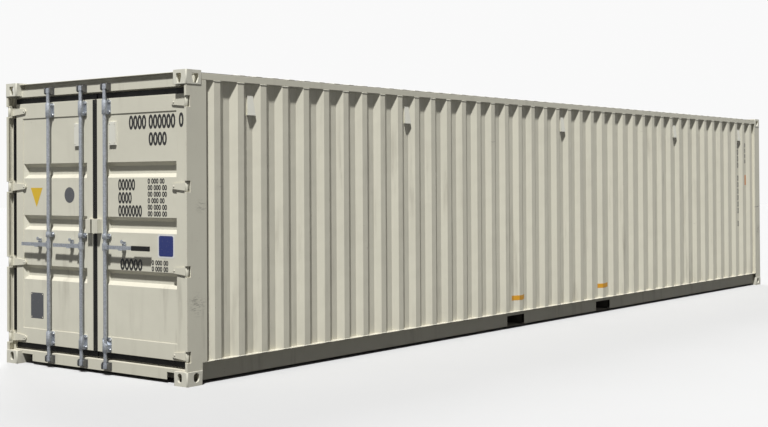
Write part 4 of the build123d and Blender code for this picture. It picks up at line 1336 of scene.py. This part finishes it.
@dataclass
class Dressing:
    """Gives each CAD node its material and softens its sharp edges."""

    frame: dict
    paints: dict[str, Material]
    uses: dict[str, str] = field(default_factory=lambda: {
        "castings": "castings", "post": "posts", "roof_panel": "roof", "vent": "vents", "wall": "walls",
        "door_panel": "panels", "gasket": "gasket", "grip": "grip", "floor_boards": "plywood",
        "cross_members": "underside", "fork_pockets": "underside", "gooseneck_tunnel": "underside",
        "cam_keepers": "keepers", "lock_rod": "zinc", "handle": "zinc", "rod_brackets": "zinc",
    })
    bevels: dict[str, float] = field(default_factory=lambda: {
        "castings": 0.0025, "post": 0.0018, "header": 0.0016, "sill": 0.0016, "bottom_side_rails": 0.0012,
        "cam_keepers": 0.0015, "door_frame": 0.0025, "hinges": 0.0015, "rod_brackets": 0.0012,
        "lock_box": 0.0015,
    })

    @staticmethod
    def look_up(table: dict[str, object], node: str, otherwise: object) -> object:
        """Finds what a table says for the first of its words in a CAD node's name."""
        return next((found for word, found in table.items() if word in node), otherwise)

    def build(self) -> None:
        """Dresses every node of the frame."""
        for name, node in self.frame["nodes"].items():
            material = self.paints[self.look_up(self.uses, name, "body")]
            if node.material_slots:
                for place in node.material_slots:
                    place.material = material
            else:
                node.data.materials.append(material)
            width = self.look_up(self.bevels, name, 0.0)
            if width:
                soften_edges(node, width)
        LOG.info("dressed %d CAD nodes", len(self.frame["nodes"]))


def soften_edges(node: Object, width: float) -> None:
    """Rounds an object's sharp edges with modifiers, which leave its own mesh alone."""
    weld = node.modifiers.new("join faces", "WELD")
    weld.merge_threshold = 0.00005
    bevel = node.modifiers.new("soft edges", "BEVEL")
    bevel.width = width
    bevel.segments = 2
    bevel.limit_method = "ANGLE"
    bevel.angle_limit = math.radians(40)
    bevel.use_clamp_overlap = True
    bevel.harden_normals = True


@dataclass
class Studio:
    """Floor, lights, sky and the camera of the photograph."""

    eye: Triple = (-13.168, -8.801, 1.679)
    yaw: float = 0.66463
    pitch: float = 0.00964
    roll: float = -0.00586
    focal_pixels: float = 1260.4
    horizon_pixel: float = 167.5
    sensor: float = 36.0
    near: float = 0.1
    far: float = 500.0
    floor_half: float = 60.0
    to_sun: Triple = (-0.385, -0.225, 0.895)
    sun_strength: float = 6.25
    sun_angle: float = 3.0
    to_fill: Triple = (0.55, 0.60, 0.58)
    fill_strength: float = 1.5
    fill_angle: float = 25.0
    sky_strength: float = 0.075
    backdrop: float = 0.95
    floor_light: float = 0.05
    floor_seen: float = 0.40
    floor_roughness: float = 0.9

    @staticmethod
    def add_object(name: str, data: ID) -> Object:
        """Adds an object of the given data to the scene."""
        made = bpy.data.objects.new(name, data)
        bpy.context.scene.collection.objects.link(made)
        return made

    def camera(self) -> None:
        """Puts the camera where the photograph was taken from."""
        data = bpy.data.cameras.new("photo_camera")
        data.sensor_width = self.sensor
        data.lens = self.focal_pixels * self.sensor / PHOTO_WIDTH
        data.shift_y = (self.horizon_pixel - PHOTO_HEIGHT / 2) / PHOTO_WIDTH
        data.clip_start = self.near
        data.clip_end = self.far
        level = math.cos(self.pitch)
        forward = Vector((level * math.cos(self.yaw), level * math.sin(self.yaw), math.sin(self.pitch)))
        right = Vector((math.sin(self.yaw), -math.cos(self.yaw), 0.0))
        up = right.cross(forward)
        level_right = math.cos(self.roll) * right + math.sin(self.roll) * up
        level_up = -math.sin(self.roll) * right + math.cos(self.roll) * up
        turn = Matrix((level_right, level_up, -forward)).transposed()
        camera = self.add_object("photo_camera", data)
        camera.matrix_world = Matrix.Translation(self.eye) @ turn.to_4x4()
        bpy.context.scene.camera = camera

    def lamp(self, name: str, to_lamp: Triple, strength: float, angle: float) -> None:
        """Adds one distant light.

        Args:
            name: Its name.
            to_lamp: Direction from the container to the light.
            strength: Its strength.
            angle: How wide it looks, in degrees.
        """
        data = bpy.data.lights.new(name, "SUN")
        data.energy = strength
        data.angle = math.radians(angle)
        lamp = self.add_object(name, data)
        lamp.rotation_mode = "QUATERNION"
        lamp.rotation_quaternion = Vector(to_lamp).to_track_quat("Z", "Y")

    def sky(self) -> None:
        """Makes an even pale world that shows white to the camera and in gloss."""
        world = bpy.data.worlds.new("studio")
        world.use_nodes = True
        world.node_tree.nodes.clear()
        bench = NodeBench(world.node_tree)
        rays = bench.add("ShaderNodeLightPath").outputs
        seen = bench.math("MAXIMUM", rays["Is Camera Ray"], rays["Is Glossy Ray"])
        seen = bench.math("MAXIMUM", seen, rays["Is Transmission Ray"])
        strength = bench.spread(seen, self.sky_strength, self.backdrop)
        inputs = {"Color": (1.0, 1.0, 1.0, 1.0), "Strength": strength}
        background = bench.add("ShaderNodeBackground", inputs)
        bench.add("ShaderNodeOutputWorld", {"Surface": background.outputs[0]})
        bpy.context.scene.world = world

    def floor(self) -> None:
        """Lays a plain pale floor under the castings."""
        bench = MaterialBench("studio_floor")
        rays = bench.add("ShaderNodeLightPath").outputs
        seen = bench.spread(rays["Is Camera Ray"], self.floor_light, self.floor_seen)
        tone = bench.times(seen, bench.spread(bench.noise(bench.place, 0.6, detail=5.0), 0.98, 1.02))
        grey = bench.add("ShaderNodeCombineColor", {channel: tone for channel in range(3)})
        mesh = bmesh.new()
        bmesh.ops.create_grid(mesh, x_segments=1, y_segments=1, size=self.floor_half)
        data = bpy.data.meshes.new("floor")
        mesh.to_mesh(data)
        mesh.free()
        data.materials.append(bench.finish(grey.outputs[0], self.floor_roughness))
        floor = self.add_object("floor", data)
        floor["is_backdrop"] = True

    def build(self) -> None:
        """Makes the whole studio, with a key light towards the doors and a soft fill towards the far side."""
        self.camera()
        self.lamp("key", self.to_sun, self.sun_strength, self.sun_angle)
        self.lamp("fill", self.to_fill, self.fill_strength, self.fill_angle)
        self.sky()
        self.floor()
        bpy.context.scene.view_settings.view_transform = "Standard"
        LOG.info("studio ready")


def main() -> None:
    """Builds the container's looks around the frame, in order."""
    logging.basicConfig(level=logging.INFO, format="%(message)s")
    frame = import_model()
    low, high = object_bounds()
    layout = Layout(low, high)
    profile = WallProfile(high.y)
    Studio().build()
    paints = make_paints(Effects())
    Dressing(frame, paints).build()
    makers = (
        DoorMarks(layout, paints),
        DoorFixings(layout, paints),
        CentreLips(layout, paints),
        PostSeals(layout, paints),
        RidgeEnds(layout, paints),
        WallMarks(layout, paints, profile),
        Welds(layout, paints, profile),
        FloorScrews(layout, paints),
    )
    for maker in makers:
        maker.build()
        LOG.info("%s made", type(maker).__name__)
    low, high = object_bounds()


if __name__ == "__main__":
    main()
